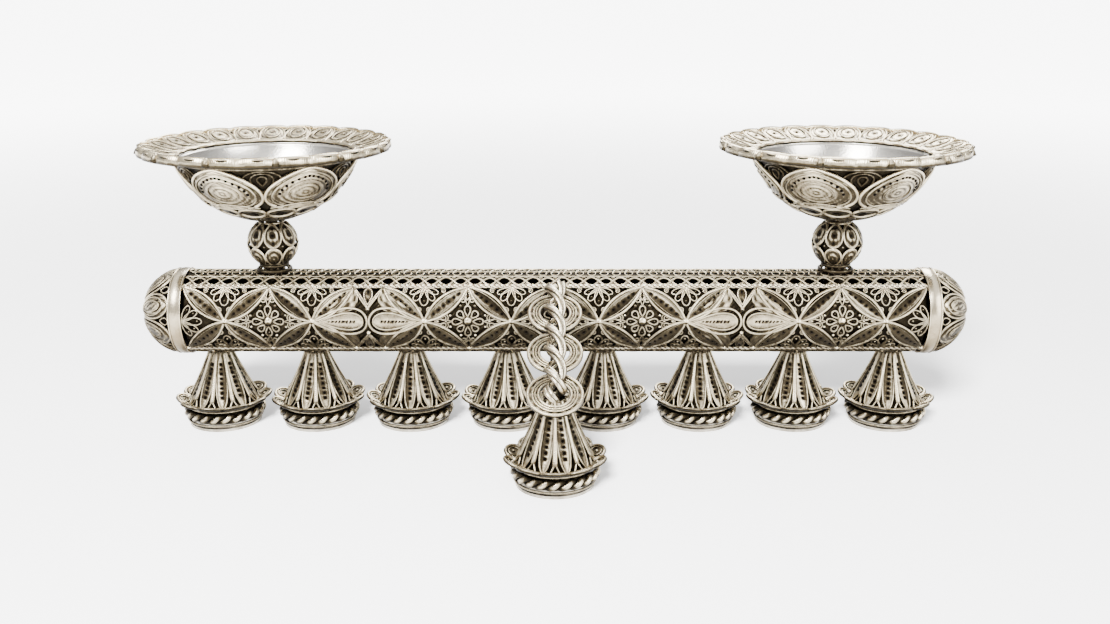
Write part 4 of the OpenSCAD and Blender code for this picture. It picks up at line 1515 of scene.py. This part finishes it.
@dataclass
class Studio:
    """Pale floor, soft light and the camera."""

    distance: float = 366.5
    height: float = 145.0
    pitch: float = 16.27
    lens: float = 37.3
    floor_half: float = 30.0

    def floor(self) -> bpy.types.Object:
        """A wide sheet of white paper that glows away from the object, so the far floor stays white."""
        mesh = bpy.data.meshes.new("studio_floor")
        size = self.floor_half
        corners = [(-size, -size, 0), (size, -size, 0), (size, size, 0), (-size, size, 0)]
        mesh.from_pydata(corners, [], [(0, 1, 2, 3)])
        floor = bpy.data.objects.new("studio_floor", mesh)
        bpy.context.scene.collection.objects.link(floor)
        paper = bpy.data.materials.new("matt_white_paper")
        paper.use_nodes = True
        tree = paper.node_tree
        shader = tree.nodes["Principled BSDF"]
        shader.inputs["Base Color"].default_value = linear("#F7F7F7")
        shader.inputs["Roughness"].default_value = 0.9
        shader.inputs["Specular IOR Level"].default_value = 0.1
        shader.inputs["Emission Color"].default_value = (1, 1, 1, 1)
        place = add(tree, "ShaderNodeTexCoord").outputs["Object"]
        reach = add(tree, "ShaderNodeVectorMath", {0: place}, operation="LENGTH").outputs["Value"]
        limits = {"From Min": 0.2, "From Max": 1.2, "To Min": 0.5, "To Max": 7.0}
        glow = add(tree, "ShaderNodeMapRange", {"Value": reach, **limits}, interpolation_type="SMOOTHSTEP")
        tree.links.new(glow.outputs[0], shader.inputs["Emission Strength"])
        mesh.materials.append(paper)
        return floor

    def sky(self) -> None:
        """A soft sky: bright overhead, a grey band at eye level, warm grey below."""
        world = bpy.data.worlds.new("softbox_sky")
        bpy.context.scene.world = world
        world.use_nodes = True
        tree = world.node_tree
        background = tree.nodes["Background"]
        direction = add(tree, "ShaderNodeTexCoord").outputs["Generated"]
        height = add(tree, "ShaderNodeSeparateXYZ", {0: direction}).outputs["Z"]
        share = add(tree, "ShaderNodeMapRange", {"Value": height, "From Min": -1.0, "From Max": 1.0}).outputs[0]
        stops = ((0.0, "#8A8378"), (0.42, "#A7A196"), (0.52, "#5A5A5C"), (0.68, "#8E8E90"), (0.95, "#FFFFFF"))
        colour = add(tree, "ShaderNodeValToRGB", {0: share}, stops).outputs["Color"]
        tree.links.new(colour, background.inputs["Color"])
        background.inputs["Strength"].default_value = 1.8

    def lamps(self, floor: bpy.types.Object) -> None:
        """Three lamps for the silver that leave the floor alone, and one whose soft shadow the floor shows."""
        not_floor, only_floor = (bpy.data.collections.new(name) for name in ("all_but_floor", "floor_only"))
        for group in (not_floor, only_floor):
            group.objects.link(floor)
        not_floor.collection_objects[0].light_linking.link_state = "EXCLUDE"
        for name, place, target, size, power, lit in (
            ("key", (-0.5, -0.7, 0.95), (0, 0, 0.04), 0.6, 31.0, not_floor),
            ("fill", (0.85, -0.75, 0.5), (0, 0, 0.04), 0.8, 24.0, not_floor),
            ("back", (0.2, 0.9, 0.8), (0, 0, 0.06), 0.7, 22.0, not_floor),
            ("floor_wash", (-0.25, -0.95, 0.85), (0, 0.05, 0), 0.35, 115.0, only_floor),
        ):
            data = bpy.data.lights.new(name, "AREA")
            data.size = size
            data.energy = power
            lamp = bpy.data.objects.new(name, data)
            lamp.location = place
            lamp.rotation_euler = self.aim(np.array(target) - np.array(place))
            lamp.light_linking.receiver_collection = lit
            bpy.context.scene.collection.objects.link(lamp)

    def camera(self) -> None:
        """The camera, in front of the beam's axis and looking down by pitch degrees."""
        data = bpy.data.cameras.new("viewpoint")
        data.sensor_width = 36.0
        data.lens = self.lens
        data.clip_start, data.clip_end = 0.01, 100.0
        camera = bpy.data.objects.new("viewpoint", data)
        camera.location = (0.0, (float(centre("rails")[1]) - self.distance) * MM, self.height * MM)
        camera.rotation_euler = (math.radians(90 - self.pitch), 0.0, 0.0)
        bpy.context.scene.collection.objects.link(camera)
        bpy.context.scene.camera = camera

    def build(self) -> None:
        """Builds floor, sky, lamps and camera."""
        floor = self.floor()
        self.sky()
        self.lamps(floor)
        self.camera()

    @staticmethod
    def aim(direction: np.ndarray) -> tuple[float, float, float]:
        """Euler angles that turn a lamp's -Z along a direction."""
        x, y, z = direction / np.linalg.norm(direction)
        return (math.acos(-z), 0.0, math.atan2(x, -y) + math.pi)


def main() -> None:
    """Builds every sub-assembly in order."""
    logging.basicConfig(level=logging.INFO, format="%(message)s")
    Studio().build()
    BeamFiligree().build()
    for side in ("left", "right"):
        BeamEnd(side).build()
    for number in range(1, 9):
        FiligreeCup(f"cup_{number}", "beam", 0.21 * number).build()
    FiligreeCup("servant", "servant_light", math.pi / 10).build()
    ServantArm().build()
    Candlestick("left", spin=math.radians(10), ball_spin=math.radians(14)).build()
    Candlestick("right", spin=math.radians(-1), ball_spin=math.radians(-22)).build()


if __name__ == "__main__":
    main()
    bpy.context.view_layer.update()
